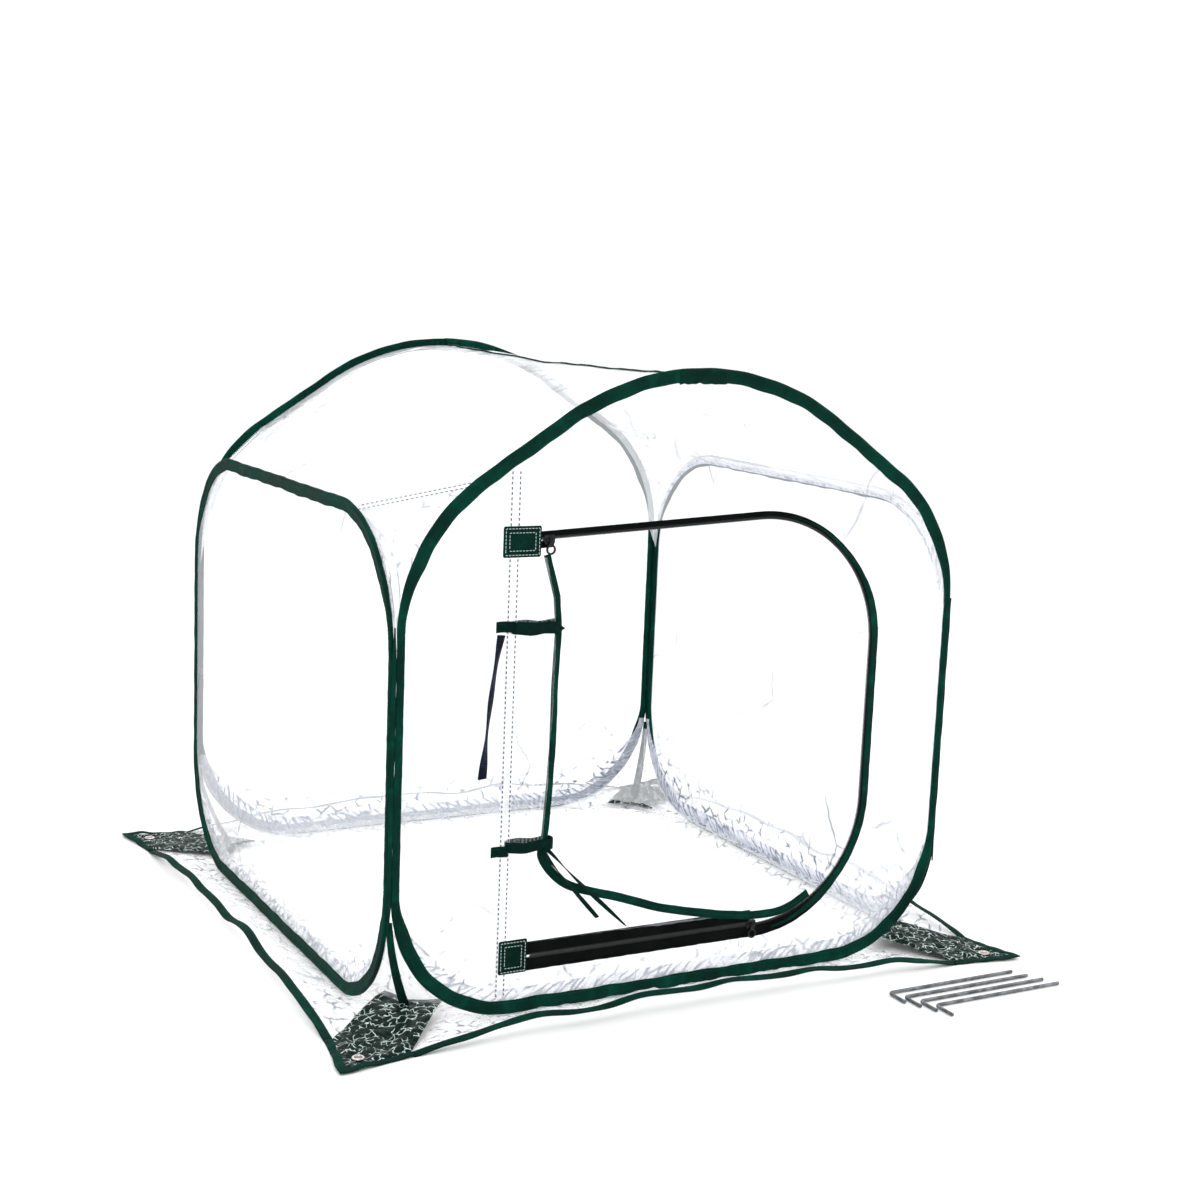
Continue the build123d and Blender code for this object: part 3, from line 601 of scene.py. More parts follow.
def fabric_material(name, dark, light, pitch, fold=18.0, sheen=0.015, roughness=0.6):
    """Woven polyester: a plain weave and soft puckers. Its colour blends from dark, the cloth in shade, to light, the
    cloth in light: painted highlight on the threads' crowns and the puckers' crests, and random blotches of uneven
    tone.
    """
    material, tree, out = blank(name)
    place = cloth_place(tree)
    weave = weave_height(tree, place, pitch)
    puckers = noise(tree, place, 1000.0 / fold, 3.0).outputs["Fac"]
    blotches = noise(tree, place, 14.0, 4.0, 0.6).outputs["Fac"]
    # Painted light: the blend toward the lit colour follows the weave's crowns, the puckers' crests and random
    # blotches.
    share = total(
        tree,
        calc(tree, "MULTIPLY", weave, 0.35),
        calc(tree, "MULTIPLY", remap(tree, blotches, 0.35, 0.7), 0.4),
        calc(tree, "MULTIPLY", remap(tree, puckers, 0.5, 0.75), 0.35),
    )
    height = total(tree, calc(tree, "MULTIPLY", weave, 0.12), puckers)
    bump = node(tree, "ShaderNodeBump", {"Height": height, "Strength": 0.7, "Distance": 0.0016}).outputs[0]
    body = node(
        tree,
        "ShaderNodeBsdfPrincipled",
        {
            "Base Color": blend_colour(tree, share, dark, light),
            "Roughness": remap(tree, blotches, 0.3, 0.7, roughness - 0.08, roughness + 0.12),
            "Normal": bump,
            "Sheen Weight": sheen,
            "Sheen Roughness": 0.4,
            "IOR": 1.12,
        },
    )
    body.inputs["Sheen Tint"].default_value = (0.55, 0.85, 0.75, 1.0)
    tree.links.new(body.outputs[0], out.inputs["Surface"])
    return material


def twill_material(name, dark, light, pitch, ribs=False):
    """Zip tape or webbing: diagonal or straight ribs, their crowns painted lighter as painted highlight, unevenly in
    random blotches.
    """
    material, tree, out = blank(name)
    place = cloth_place(tree)
    split = node(tree, "ShaderNodeSeparateXYZ", {"Vector": place}).outputs
    slant = split[0] if ribs else calc(tree, "ADD", split[0], split[1])
    rib = remap(tree, calc(tree, "SINE", calc(tree, "MULTIPLY", slant, 2 * math.pi / pitch)), -1.0, 1.0)
    blotches = noise(tree, place, 30.0, 3.0).outputs["Fac"]
    # Painted highlight: the ribs' crowns take the lighter colour.
    share = calc(tree, "MULTIPLY", rib, remap(tree, blotches, 0.3, 0.75))
    bump = node(tree, "ShaderNodeBump", {"Height": rib, "Strength": 0.6, "Distance": 0.0004}).outputs[0]
    body = node(
        tree,
        "ShaderNodeBsdfPrincipled",
        {
            "Base Color": blend_colour(tree, share, dark, light),
            "Roughness": remap(tree, blotches, 0.3, 0.7, 0.5, 0.7),
            "Normal": bump,
            "Sheen Weight": 0.01,
            "IOR": 1.1,
        },
    )
    tree.links.new(body.outputs[0], out.inputs["Surface"])
    return material


def woven_plastic_material(name, dark, light):
    """Coated woven plastic: flat tapes in a coarse weave under a glossy skin, with a painted highlight along the
    creases.
    """
    material, tree, out = blank(name)
    place = cloth_place(tree)
    weave = weave_height(tree, place, 0.0024)
    crinkle = crease_distance(tree, warped(tree, place, 60.0, 0.022), 115.0)
    crest_highlight = remap(tree, crinkle, 0.10, 0.01)
    patches = remap(tree, noise(tree, place, 95.0, 3.0).outputs["Fac"], 0.44, 0.54)
    # Painted highlight: the creases' crests take the pale colour, in patches.
    share = calc(tree, "MULTIPLY", crest_highlight, patches)
    height = total(tree, calc(tree, "MULTIPLY", weave, 0.08), calc(tree, "MINIMUM", crinkle, 0.3))
    bump = node(tree, "ShaderNodeBump", {"Height": height, "Strength": 0.9, "Distance": 0.002}).outputs[0]
    body = node(
        tree,
        "ShaderNodeBsdfPrincipled",
        {
            "Base Color": blend_colour(tree, share, dark, light),
            "Roughness": remap(tree, patches, 0.0, 1.0, 0.3, 0.42),
            "Normal": bump,
            "Specular IOR Level": 0.06,
        },
    )
    tree.links.new(body.outputs[0], out.inputs["Surface"])
    return material


def metal_material(name, dark, light, roughness, metallic=1.0, grain=90.0):
    """Metal or lacquer with fine scratches and slightly uneven colour, in object space."""
    material, tree, out = blank(name)
    place = node(tree, "ShaderNodeTexCoord").outputs["Object"]
    cloudy = noise(tree, place, grain, 4.0, 0.6).outputs["Fac"]
    grit = noise(tree, place, grain * 14, 3.0).outputs["Fac"]
    bump = node(tree, "ShaderNodeBump", {"Height": grit, "Strength": 0.25, "Distance": 0.0002}).outputs[0]
    body = node(
        tree,
        "ShaderNodeBsdfPrincipled",
        {
            "Base Color": blend_colour(tree, remap(tree, cloudy, 0.35, 0.68), dark, light),
            "Roughness": remap(tree, cloudy, 0.3, 0.7, roughness - 0.07, roughness + 0.1),
            "Normal": bump,
            "Metallic": metallic,
        },
    )
    tree.links.new(body.outputs[0], out.inputs["Surface"])
    return material


FILM = film_material("clear_film", haze=0.24, creases=0.34, crinkles=0.85)
ROOF_FILM = film_material("clear_roof_film", haze=0.28, creases=0.7, crinkles=0.75, web=13.0)
FLOOR_FILM = film_material("clear_floor_film", haze=0.04, creases=0.2, crinkles=0.9, gloss=0.2, dense=0.04)
SKIRT_FILM = film_material("clear_skirt_film", haze=0.12, creases=0.6, crinkles=0.8, web=26.0)
# The welts' crumpled film is veiled in lilac-grey: painted shade.
WELT_FILM = film_material(
    "crumpled_film", haze=0.28, creases=0.75, crinkles=1.0, tint=FILM_LILAC_SHADE, web=34.0,
    dense=0.08, drawn=0.6, mesh=78.0,
)
FLAP_FILM = film_material("clear_flap_film", haze=0.02, creases=0.06, crinkles=0.22, gloss=0.16)
SEAM_FILM = film_material("clear_seam_film", haze=0.3, creases=0.2, crinkles=0.3)
# Each fabric's two colours are the cloth in shade and the cloth in light, blended as painted light.
GREEN = fabric_material("green_binding", (0.0002, 0.008, 0.0055), (0.001, 0.058, 0.037), 0.0007)
GREEN_FLAT = fabric_material("green_fabric", (0.0002, 0.006, 0.0045), (0.001, 0.032, 0.022), 0.0008, fold=9.0)
# A lighter copy of the binding cloth, for a splice's upper turn: painted highlight.
GREEN_LIT = fabric_material(
    "green_binding_end_lit", (0.0004, 0.014, 0.010), (0.002, 0.085, 0.055), 0.0008, fold=9.0
)
GREEN_THREAD = fabric_material("green_thread", (0.002, 0.05, 0.034), (0.012, 0.13, 0.09), 0.0005)
GREY_THREAD = fabric_material("grey_thread", (0.05, 0.058, 0.075), (0.15, 0.165, 0.20), 0.0005)
PALE_THREAD = fabric_material("pale_thread", (0.42, 0.50, 0.48), (0.66, 0.72, 0.70), 0.0005)
# The tapes' light colours are the ribs' painted highlight; the webbing's blue is that highlight's tint.
BLACK_TAPE = twill_material("zip_tape", (0.0010, 0.0012, 0.0013), (0.007, 0.009, 0.009), 0.0011)
WEBBING = twill_material("webbing", (0.002, 0.004, 0.009), (0.035, 0.05, 0.085), 0.0026, ribs=True)
COIL = metal_material("zip_coil", (0.0015, 0.0015, 0.0017), (0.007, 0.008, 0.008), 0.4, 0.0, 200.0)
# The patch's pale colour is the creases' painted highlight.
PATCH = woven_plastic_material("woven_patch", (0.0003, 0.010, 0.007), (0.60, 0.72, 0.68))
SLIDER = metal_material("slider_metal", (0.004, 0.004, 0.005), (0.02, 0.021, 0.023), 0.3, 0.6, 160.0)
EYELET = metal_material("eyelet_metal", (0.5, 0.45, 0.44), (0.78, 0.72, 0.70), 0.27)
SPRING = metal_material("spring_steel", (0.3, 0.31, 0.33), (0.5, 0.5, 0.51), 0.3)
FERRULE = metal_material("ferrule_steel", (0.45, 0.45, 0.44), (0.62, 0.62, 0.6), 0.35)
STAKE = metal_material("stake_steel", (0.10, 0.11, 0.12), (0.27, 0.28, 0.29), 0.36)


# ---- Bindings ----
BINDING_HALF = (
    (-5.8, 0.35), (-5.65, 0.9), (-5.1, 1.18), (-4.0, 1.2), (-2.4, 1.3), (-0.5, 1.35),
    (2.4, 1.55), (3.9, 2.15), (5.3, 2.62), (6.8, 2.68), (8.1, 2.25), (9.1, 1.35), (9.5, 0.4),
)
BINDING_PROFILE = np.array([*BINDING_HALF, *[(o, -n) for o, n in reversed(BINDING_HALF)]])
BINDING_STITCH = -3.6


def ruffled(path, profile, seed, sway=1.3, flutter=0.32):
    """The profile at every place of a path: it sways, and its thin edge flutters between stitches."""
    along = path.along[:, None]
    whole = path.total if path.closed else None
    thin = smooth((3.0 - profile[None, :, 0]) / 10.0)
    slide = ripple(along, (210.0, 96.0, 43.0), seed, whole) * sway
    wave = ripple(along, (25.0, 15.5), seed + 1, whole) * flutter
    swell = 1 + 0.09 * ripple(along, (58.0, 31.0), seed + 2, whole) * (1 - thin)
    shape = np.empty((len(path.points), len(profile), 2))
    shape[..., 0] = profile[None, :, 0] + slide * (0.45 + 0.55 * thin)
    shape[..., 1] = profile[None, :, 1] * swell + wave * thin
    return shape


def paired(x, z):
    """How much a place on a loop runs upright beside the next wall's loop, where the binding is narrower."""
    return smooth((np.abs(x) - 315.0) / 24.0) * smooth((z - 95.0) / 60.0) * (1 - smooth((z - 430.0) / 90.0))


def make_binding(wall, seed):
    loop = WALLS[wall][0]
    path = Path(rounded(loop, 5.0), closed=True)
    body = f"{wall}_wall"
    shape = ruffled(path, BINDING_PROFILE, seed)
    pull = 1 - 0.8 * paired(path.points[:, :1], path.points[:, 1:])
    shape[..., 0] = np.where(shape[..., 0] < 2.6, 2.6 + (shape[..., 0] - 2.6) * pull, shape[..., 0])
    made = wall_band(f"folded_binding_{wall}", wall, path, shape, GREEN)
    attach(made, body)
    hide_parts(f"binding_{wall}")
    inward = 5.6 * paired(path.points[:, 0], path.points[:, 1])
    row = Path(path.points + path.out * (BINDING_STITCH + inward)[:, None], closed=True)
    for side, label in ((1, "outer"), (-1, "inner")):
        thread = stitch_row(f"binding_stitches_{wall}_{label}", wall, [row], side * 1.35, 4.2, GREEN_THREAD)
        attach(thread, body)
    return path


# A splice's layers: where each starts and ends along the arch.
SPLICES = {"front": ((-38.0, 26.0),), "back": ((-8.0, 16.0), (-76.0, 2.0))}


# The second turn of a splice takes the lighter copy of the cloth: painted highlight.
SPLICE_CLOTH = (GREEN, GREEN_LIT)


def make_splices(wall, path):
    """Where the binding's two ends overlap near the ridge: one short turn of cloth over another."""
    for k, (low, high) in enumerate(SPLICES[wall]):
        top = path.where(lambda p: (p[:, 0] > low) & (p[:, 0] < high) & (p[:, 1] > ARCH_SHOULDER_Z))
        profile = BINDING_PROFILE * (1.1 + 0.05 * k, 1.3 + 0.15 * k) - (0.9, 0.0)
        shape = ruffled(top, profile, 40 + k, 1.0, 0.5)
        ragged = 1.6 * ripple(top.along, (17.0, 9.0, 6.0), 44 + k)[:, None]
        shape[..., 0] += ragged * smooth((2.0 - shape[..., 0]) / 6.0)
        made = wall_band(f"binding_splice_{wall}_{k + 1}", wall, top, shape, SPLICE_CLOTH[k])
        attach(made, f"{wall}_wall")


for seed, wall_name in enumerate(WALLS):
    wall_path = make_binding(wall_name, 10 * seed)
    if wall_name in SPLICES:
        make_splices(wall_name, wall_path)


# ---- Door outline ----
def door_line(by, step=4.0):
    """The zip's middle line from the seam along the bottom, up the right and back, moved outward."""
    seam_z, right_z = ZIP_TOP_Z
    slope = (right_z - seam_z) / (ZIP_RIGHT_X - SEAM_X)
    beyond = 80.0
    corners = [
        (SEAM_X - beyond, ZIP_BOTTOM_Z),
        (ZIP_RIGHT_X, ZIP_BOTTOM_Z),
        (ZIP_RIGHT_X, right_z),
        (SEAM_X - beyond, seam_z - slope * beyond),
    ]
    points = rounded(grown((corners, [0, ZIP_BOTTOM_R, ZIP_TOP_R, 0]), by), step, closed=False)
    return Path(points[points[:, 0] >= SEAM_X - step / 2])


def tape_reach(z):
    """How far the zip's tape shows beyond the middle line: narrow along the top, full along the bottom."""
    return 9.0 + 4.5 * smooth((508.0 - z) / 90.0) + 3.0 * smooth((120.0 - z) / 50.0)


def door_hole(inset):
    """The doorway's edge in the film, under the zip's tape."""
    line = door_line(0.0)
    return line.points + line.out * (tape_reach(line.points[:, 1]) - inset)[:, None]


# ---- Wall films ----
def make_wall_film(wall, seed):
    loop = WALLS[wall][0]
    holes = [door_hole(4.0)] if wall == "front" else []
    points, faces, edge = cut_sheet(rounded(grown(loop, FILM_EDGE), 9.0), holes, 8.5, seed)
    x, z = points.T
    held = smooth((edge - 6.0) / 24.0)
    low = smooth((88.0 - z) / 56.0)
    if wall in ("front", "left"):
        low = low * 0.6
    corner = smooth((np.abs(x) - 215.0) / 90.0) * smooth((170.0 - z) / 90.0)
    shoulder = smooth((np.abs(x) - 235.0) / 80.0) * smooth((z - 400.0) / 110.0)
    crushed = np.clip(low + 0.5 * corner + 0.35 * shoulder, 0, 1)
    n = held * (0.9 * crumple(x, z, 150.0, seed) + 1.0 * crumple(x, z * 0.6, 60.0, seed + 1))
    n = n + smooth((edge - 7.0) / 8.0) * crushed * 2.4 * crumple(x, z * 0.55, 19.0, seed + 2)
    made = piece(f"wall_film_{wall}", on_wall(wall, x, z, n), faces, FILM, flat=points, crinkle=crushed)
    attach(made, f"{wall}_wall")
    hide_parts(f"film_{wall}")


for seed, wall_name in enumerate(WALLS):
    make_wall_film(wall_name, 100 + 10 * seed)


def flat_profile(near, far, thickness, crown=0.0):
    """A thin band between two distances, with rounded edges and a slight crown."""
    half = thickness / 2
    soft = min(0.5, (far - near) / 4)
    middle = (near + far) / 2
    upper = [(near, 0.0), (near + soft * 0.3, half * 0.8), (near + soft, half), (middle, half + crown),
             (far - soft, half), (far - soft * 0.3, half * 0.8), (far, 0.0)]
    return np.array([*upper, *[(o, -n) for o, n in reversed(upper[1:-1])]])


# ---- Roof ----
def roof_half(at_side, flank_steps=18, arc_steps=16):
    """Half of the roof's profile, from its lower edge up to the ridge."""
    if at_side:
        distance = math.hypot(ROOF_X, SIDE_TOP_Z - APEX_CENTRE_Z)
        rise = math.atan2(SIDE_TOP_Z - APEX_CENTRE_Z, ROOF_X)
        touch = math.pi / 2 - (rise + math.acos(ARCH_APEX_R / distance))
        foot = (ROOF_X, SIDE_TOP_Z)
    else:
        touch = FLANK
        foot = (SEAM_ARCH_X, ARCH_APEX_Z - SEAM_ARCH_X * math.tan(FLANK))
    angles = touch * (1 - np.arange(arc_steps + 1) / arc_steps)
    arc = np.stack([ARCH_APEX_R * np.sin(angles), APEX_CENTRE_Z + ARCH_APEX_R * np.cos(angles)], -1)
    shares = np.arange(flank_steps)[:, None] / flank_steps
    return np.vstack([np.array(foot) + (arc[0] - foot) * shares, arc])


def roof_profile(y):
    """The roof's cut across at one y, from the left edge to the right."""
    share = min(1.0, (ROOF_Y - min(abs(y), ROOF_Y)) / (ROOF_Y - SEAM_SIDE_Y))
    half = roof_half(False) * (1 - share) + roof_half(True) * share
    return np.vstack([half * (-1, 1), half[::-1][1:]])


def make_roof(side, sy):
    """The half of the roof next to one arch."""
    ys = sy * np.concatenate([np.linspace(0, SEAM_SIDE_Y, 24), np.linspace(SEAM_SIDE_Y, 355.4, 20)[1:]])
    profile = np.array([roof_profile(y) for y in ys])
    x, z = profile[..., 0], profile[..., 1]
    y = np.broadcast_to(ys[:, None], x.shape)
    steps = np.linalg.norm(np.diff(profile, axis=1), axis=2)
    run = np.concatenate([np.zeros((len(ys), 1)), np.cumsum(steps, 1)], 1)
    flat = np.stack([run - run[:, -1:] / 2, y], -1)
    ends = smooth((ROOF_Y - np.abs(y)) / 40.0)
    sides = smooth(np.minimum(run, run[:, -1:] - run) / 40.0)
    sag = 5.0 * ends * sides * np.cos(np.pi * y / 2 / ROOF_Y)
    near_arch = smooth((np.abs(y) - 270.0) / 70.0)
    near_seam = smooth((110.0 - np.minimum(run, run[:, -1:] - run)) / 90.0)
    ridge = smooth((130.0 - np.abs(flat[..., 0])) / 110.0)
    crinkle = np.clip(near_arch * (0.25 + 0.6 * ridge + 0.4 * near_seam) + 0.18 * near_seam, 0, 1)
    wave = 1.6 * crumple(flat[..., 0], y, 120.0, 7) + (0.6 + 2.0 * crinkle) * crumple(flat[..., 0], y, 34.0, 8)
    depth = sag - wave * ends * sides
    centre = unit(np.stack([x, z - APEX_CENTRE_Z], -1))
    points = np.stack([x - centre[..., 0] * depth, y, z - centre[..., 1] * depth], -1)
    made = surface(f"roof_film_{side}_half", points, flat, ROOF_FILM, crinkle)
    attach(made, f"{side}_wall")
    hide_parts("roof_film")
    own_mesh(made)
    # A narrow tape is sewn along the ridge.
    ridge = points[:, points.shape[1] // 2] + (0, 0, 0.3)
    out = np.broadcast_to(np.array([1.0, 0.0, 0.0]), ridge.shape)
    up = np.broadcast_to(np.array([0.0, 0.0, 1.0]), ridge.shape)
    tape = swept(f"roof_ridge_tape_{side}", ridge, out, up, flat_profile(-1.7, 1.7, 2.6, 0.2), GREEN_FLAT)
    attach(tape, f"{side}_wall")
    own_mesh(tape)


def shoulder_line(count):
    """The arch's round shoulder from its foot to the gusset's seam, evenly spaced over its chord."""
    turn = math.pi / 2 - FLANK
    centre = (LOOP_HALF - ARCH_SHOULDER_R, ARCH_SHOULDER_Z - ARCH_SHOULDER_R * math.tan(turn / 2))
    angles = np.linspace(0, turn, 16)
    arc = np.add(centre, ARCH_SHOULDER_R * np.stack([np.cos(angles), np.sin(angles)], -1))
    line = np.vstack([arc, [(SEAM_ARCH_X, ARCH_APEX_Z - SEAM_ARCH_X * math.tan(FLANK))]])
    chord = np.linalg.norm(line - line[0], axis=1)
    shares = np.linspace(0, 1, count)
    return np.stack([np.interp(shares * chord[-1], chord, line[:, k]) for k in (0, 1)], -1), shares


def side_top_z(y):
    """Height of the side loop's band at a distance from its middle."""
    past = min(max(0.0, y - (LOOP_HALF - SIDE_TOP_R)), SIDE_TOP_R)
    return SIDE_TOP_Z - SIDE_TOP_R + math.sqrt(SIDE_TOP_R**2 - past**2)


def roof_gusset_places(count_y=18, count=14):
    """The gusset between an arch's shoulder, a side loop and the roof's seam, as rows from the arch."""
    shoulder, shares = shoulder_line(count)
    foot, head = shoulder[0], shoulder[-1]
    rows = []
    for y in np.linspace(ROOF_Y, SEAM_SIDE_Y + 4.0, count_y):
        inset = (ROOF_Y - y) / (ROOF_Y - SEAM_SIDE_Y)
        low = foot if y == ROOF_Y else np.array((ROOF_X, side_top_z(y)))
        seam = head + (np.array((ROOF_X, SIDE_TOP_Z)) - head) * inset
        flat = low + (seam - low) * shares[:, None]
        chord = foot + (head - foot) * shares[:, None]
        bulged = flat + (shoulder - chord) * (1 - inset) ** 2
        rows.append(np.column_stack([bulged[:, 0], np.full(count, y), bulged[:, 1]]))
    return np.array(rows)


def double_seam(name, start, end, up, body, spacing=6.0, width=9.0):
    """A sewn seam on film: a narrow film tape with two rows of stitches."""
    start, end, up = np.array(start, float), np.array(end, float), unit(np.array(up, float))
    run = end - start
    length = np.linalg.norm(run)
    side = unit(np.cross(up, run))
    steps = np.linspace(0, 1, max(2, round(length / 12)))[:, None]
    middle = start + run * steps
    profile = np.array([(-1, 0.15), (1, 0.15), (1, -0.15), (-1, -0.15)]) * (width / 2 + 2.0, 1.0)
    out = np.broadcast_to(side, middle.shape)
    tape = swept(f"{name}_tape", middle, out, np.broadcast_to(up, middle.shape), profile, SEAM_FILM)
    at = np.arange(spacing / 2, length, spacing)[:, None] / length
    places = np.vstack([start + run * at + side * s * width / 2 + up * 0.35 for s in (-1, 1)])
    along, top = np.broadcast_to(run / length, places.shape), np.broadcast_to(up, places.shape)
    thread = beads(f"{name}_stitches", places, along, top, (spacing * 0.6, 1.3, 0.7), GREY_THREAD)
    for made in (tape, thread):
        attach(made, body)
    return tape, thread


def make_roof_gusset(corner, seed):
    sx, sy, _, _ = CORNERS[corner]
    side = corner.split("_")[0]
    places = roof_gusset_places()
    rows, cols = places.shape[:2]
    u = np.broadcast_to(np.arange(cols) * 13.0, (rows, cols))
    v = places[..., 1]
    border = np.minimum.reduce(
        [np.broadcast_to(np.arange(cols), u.shape), np.broadcast_to(cols - 1 - np.arange(cols), u.shape)]
    )
    depth = smooth(border / 3) * (2.0 * crumple(u, v, 60.0, seed) + 1.6 * crumple(u, v, 26.0, seed + 1))
    depth = depth * smooth((ROOF_Y - v) / 25.0)
    centre = unit(np.stack([places[..., 0], places[..., 2] - APEX_CENTRE_Z], -1))
    points = places.copy()
    points[..., 0] = (places[..., 0] - centre[..., 0] * depth) * sx
    points[..., 1] = np.minimum(places[..., 1] + (places[..., 1] > ROOF_Y - 1) * 3.0, 355.4) * sy
    points[..., 2] = places[..., 2] - centre[..., 1] * depth
    crinkle = np.clip(0.25 + 0.5 * smooth((v - 260.0) / 90.0), 0, 1)
    made = surface(f"roof_gusset_{corner}", points, np.stack([u, v], -1), ROOF_FILM, crinkle)
    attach(made, f"{side}_wall")
    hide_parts(f"roof_gussets_{side}")
    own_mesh(made)
    head = (sx * SEAM_ARCH_X, sy * (ROOF_Y - 3.0), ARCH_APEX_Z - SEAM_ARCH_X * math.tan(FLANK) + 1.0)
    foot = (sx * ROOF_X, sy * SEAM_SIDE_Y, SIDE_TOP_Z + 1.0)
    for seam in double_seam(f"roof_seam_{corner}", head, foot, (sx, 0, 1.6), f"{side}_wall"):
        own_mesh(seam)


for side_name, side_y in (("front", -1), ("back", 1)):
    make_roof(side_name, side_y)
for seed, corner_name in enumerate(CORNERS):
    make_roof_gusset(corner_name, 220 + 5 * seed)


# ---- Floor ----
FLOOR_RISE = 9.0


def make_floor(side, sy, seed):
    """The half of the floor next to the front or back wall: flat in the middle, drawn up to the walls."""
    outline = np.array(
        [
            (-FLOOR_EDGE, 0.0), (-FLOOR_EDGE, -FLOOR_RUN), (-FLOOR_CORNER, -FLOOR_CORNER),
            (-FLOOR_RUN, -FLOOR_EDGE), (FLOOR_RUN, -FLOOR_EDGE), (FLOOR_CORNER, -FLOOR_CORNER),
            (FLOOR_EDGE, -FLOOR_RUN), (FLOOR_EDGE, 0.0),
        ]
    )
    ring = rounded((outline, [0] * len(outline)), 9.0)
    points, faces, _ = cut_sheet(ring, [], 8.5, seed)
    points = points * (1, -sy)
    x, y = points.T
    if sy > 0:
        faces = faces[:, ::-1]
    corner_run = (FLOOR_CORNER + FLOOR_CORNER - np.abs(x) - np.abs(y)) / math.sqrt(2)
    edge = np.minimum.reduce([FLOOR_EDGE - np.abs(x), FLOOR_EDGE - np.abs(y), np.maximum(corner_run, 0) * 1.3])
    margin = smooth((66.0 - edge) / 52.0)
    straight = smooth((FLOOR_CORNER + 2.0 - np.minimum(np.abs(x), np.abs(y))) / 60.0)
    rise = FLOOR_RISE * smooth((38.0 - edge) / 38.0) * straight * smooth(corner_run / 40.0)
    fold = 0.7 * (crumple(x, y, 130.0, 301) + 1.0) + margin * 3.4 * (crumple(x, y, 17.0, 302) + 1.0)
    z = 0.35 + rise + fold * smooth((edge + 4.0) / 10.0)
    crinkle = np.clip(0.015 + margin, 0, 1)
    made = piece(
        f"floor_film_{side}_half", np.column_stack([x, y, z]), faces, FLOOR_FILM, flat=points, crinkle=crinkle
    )
    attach(made, f"{side}_wall")
    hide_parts("floor_film")
    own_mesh(made)


for side_name, side_y in (("front", -1), ("back", 1)):
    make_floor(side_name, side_y, 300)


WELT_FOOT_Z = 132.0
WELT_HEAD_Z = 440.0


def make_welt(wall, part, keep, width, seed):
    """Crumpled film sewn into one part of the loop, where the floor or the roof meets the wall inside."""
    path = Path(rounded(WALLS[wall][0], 3.2)).where(keep)
    ends = smooth(np.minimum(path.along, path.total - path.along) / 70.0)[:, None]
    share = np.linspace(0, 1, 9)[None]
    across = 7.0 - share * (9.0 + width * ends)
    along = path.along[:, None]
    puff = smooth(np.minimum(share, 1 - share) * 4 + 0.15)
    n = -3.3 - puff * (1.5 + 1.3 * crumple(along * 1.6, across * 0.5, 15.0, seed)) - 1.2 * share
    x = path.points[:, :1] + path.out[:, :1] * across
    z = np.maximum(path.points[:, 1:] + path.out[:, 1:] * across, 1.6)
    slant = along + 1.2 * across
    flat = np.stack(np.broadcast_arrays(slant, across), -1)
    made = surface(f"{part}_welt_{wall}", on_wall(wall, x, z, n), flat, WELT_FILM, np.full(x.shape, 0.9))
    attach(made, f"{wall}_wall")


for seed, wall_name in enumerate(WALLS):
    make_welt(wall_name, "bottom", lambda p: p[:, 1] < WELT_FOOT_Z, 15.0, 350 + 7 * seed)
for seed, wall_name in enumerate(("right", "left")):
    make_welt(wall_name, "top", lambda p: p[:, 1] > WELT_HEAD_Z, 1.0, 380 + 7 * seed)


# ---- Skirts and hems ----
PATCH_START = (
    FLOOR_RUN + (FLOOR_CORNER - FLOOR_RUN) * PATCH_SHARE,
    SKIRT_INNER + (FLOOR_CORNER - SKIRT_INNER) * PATCH_SHARE,
)
HEM_LIFT = 23.0


def hem_lift(run, seed):
    """How high the hem's inner edge stands off the ground along a wall."""
    ends = np.clip(1 - np.abs(run / SKIRT_RUN) ** 3.2, 0, 1)
    return ends * (HEM_LIFT + 5.5 * ripple(run, (260.0, 170.0, 120.0), seed)) + 0.9


def from_wall(wall, x, far, z):
    """Places in the row frame from a place along a wall, a distance out from the centre, and a height."""
    return on_wall(wall, x, z, far - WALL_OUT)


def make_skirt(wall, seed):
    shares = np.linspace(-1, 1, 141)
    depth = np.linspace(0, 1, 11)[:, None]
    bend = 0.8
    past = np.clip((np.abs(shares) - bend) / (1 - bend), 0, 1)
    straight = FLOOR_RUN * np.minimum(np.abs(shares) / bend, 1)
    inner_x = np.sign(shares) * (straight + (PATCH_START[0] - FLOOR_RUN) * past)
    inner_far = SKIRT_INNER + 2.0 + (PATCH_START[1] - SKIRT_INNER - 2.0) * past
    outer_x = SKIRT_RUN * shares
    x = inner_x + (outer_x - inner_x) * depth
    far = inner_far + (SKIRT_OUT - inner_far) * depth
    ends = smooth((1 - np.abs(shares)) / 0.1)
    lift = hem_lift(outer_x, seed) * depth**1.25
    fold = crumple(x, far, 22.0, seed + 1) + 0.7 * crumple(x * 1.4, far * 0.7, 46.0, seed + 2)
    z = 0.45 + lift + (1 + fold) * 2.3 * smooth(depth * (1 - depth) * 6) * ends
    near_tip = smooth((np.abs(shares) - 0.55) / 0.35)
    crinkle = np.clip(0.35 + 0.35 * smooth(depth * (1 - depth) * 5) + 0.45 * near_tip, 0, 1)
    crinkle = np.broadcast_to(crinkle, x.shape)
    points = from_wall(wall, x, far, z)
    made = surface(f"ground_skirt_{wall}", points, np.stack([x, far], -1), SKIRT_FILM, crinkle)
    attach(made, f"{wall}_wall")
    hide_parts(f"skirt_{wall}")


HEM_PROFILE = np.array(
    [(0.0, 0.75), (0.3, 1.0), (4.0, 1.15), (8.0, 1.2), (9.4, 0.95), (10.0, 0.2),
     (9.4, -0.55), (8.0, -0.7), (4.0, -0.65), (0.3, -0.5), (0.0, -0.2)]
)


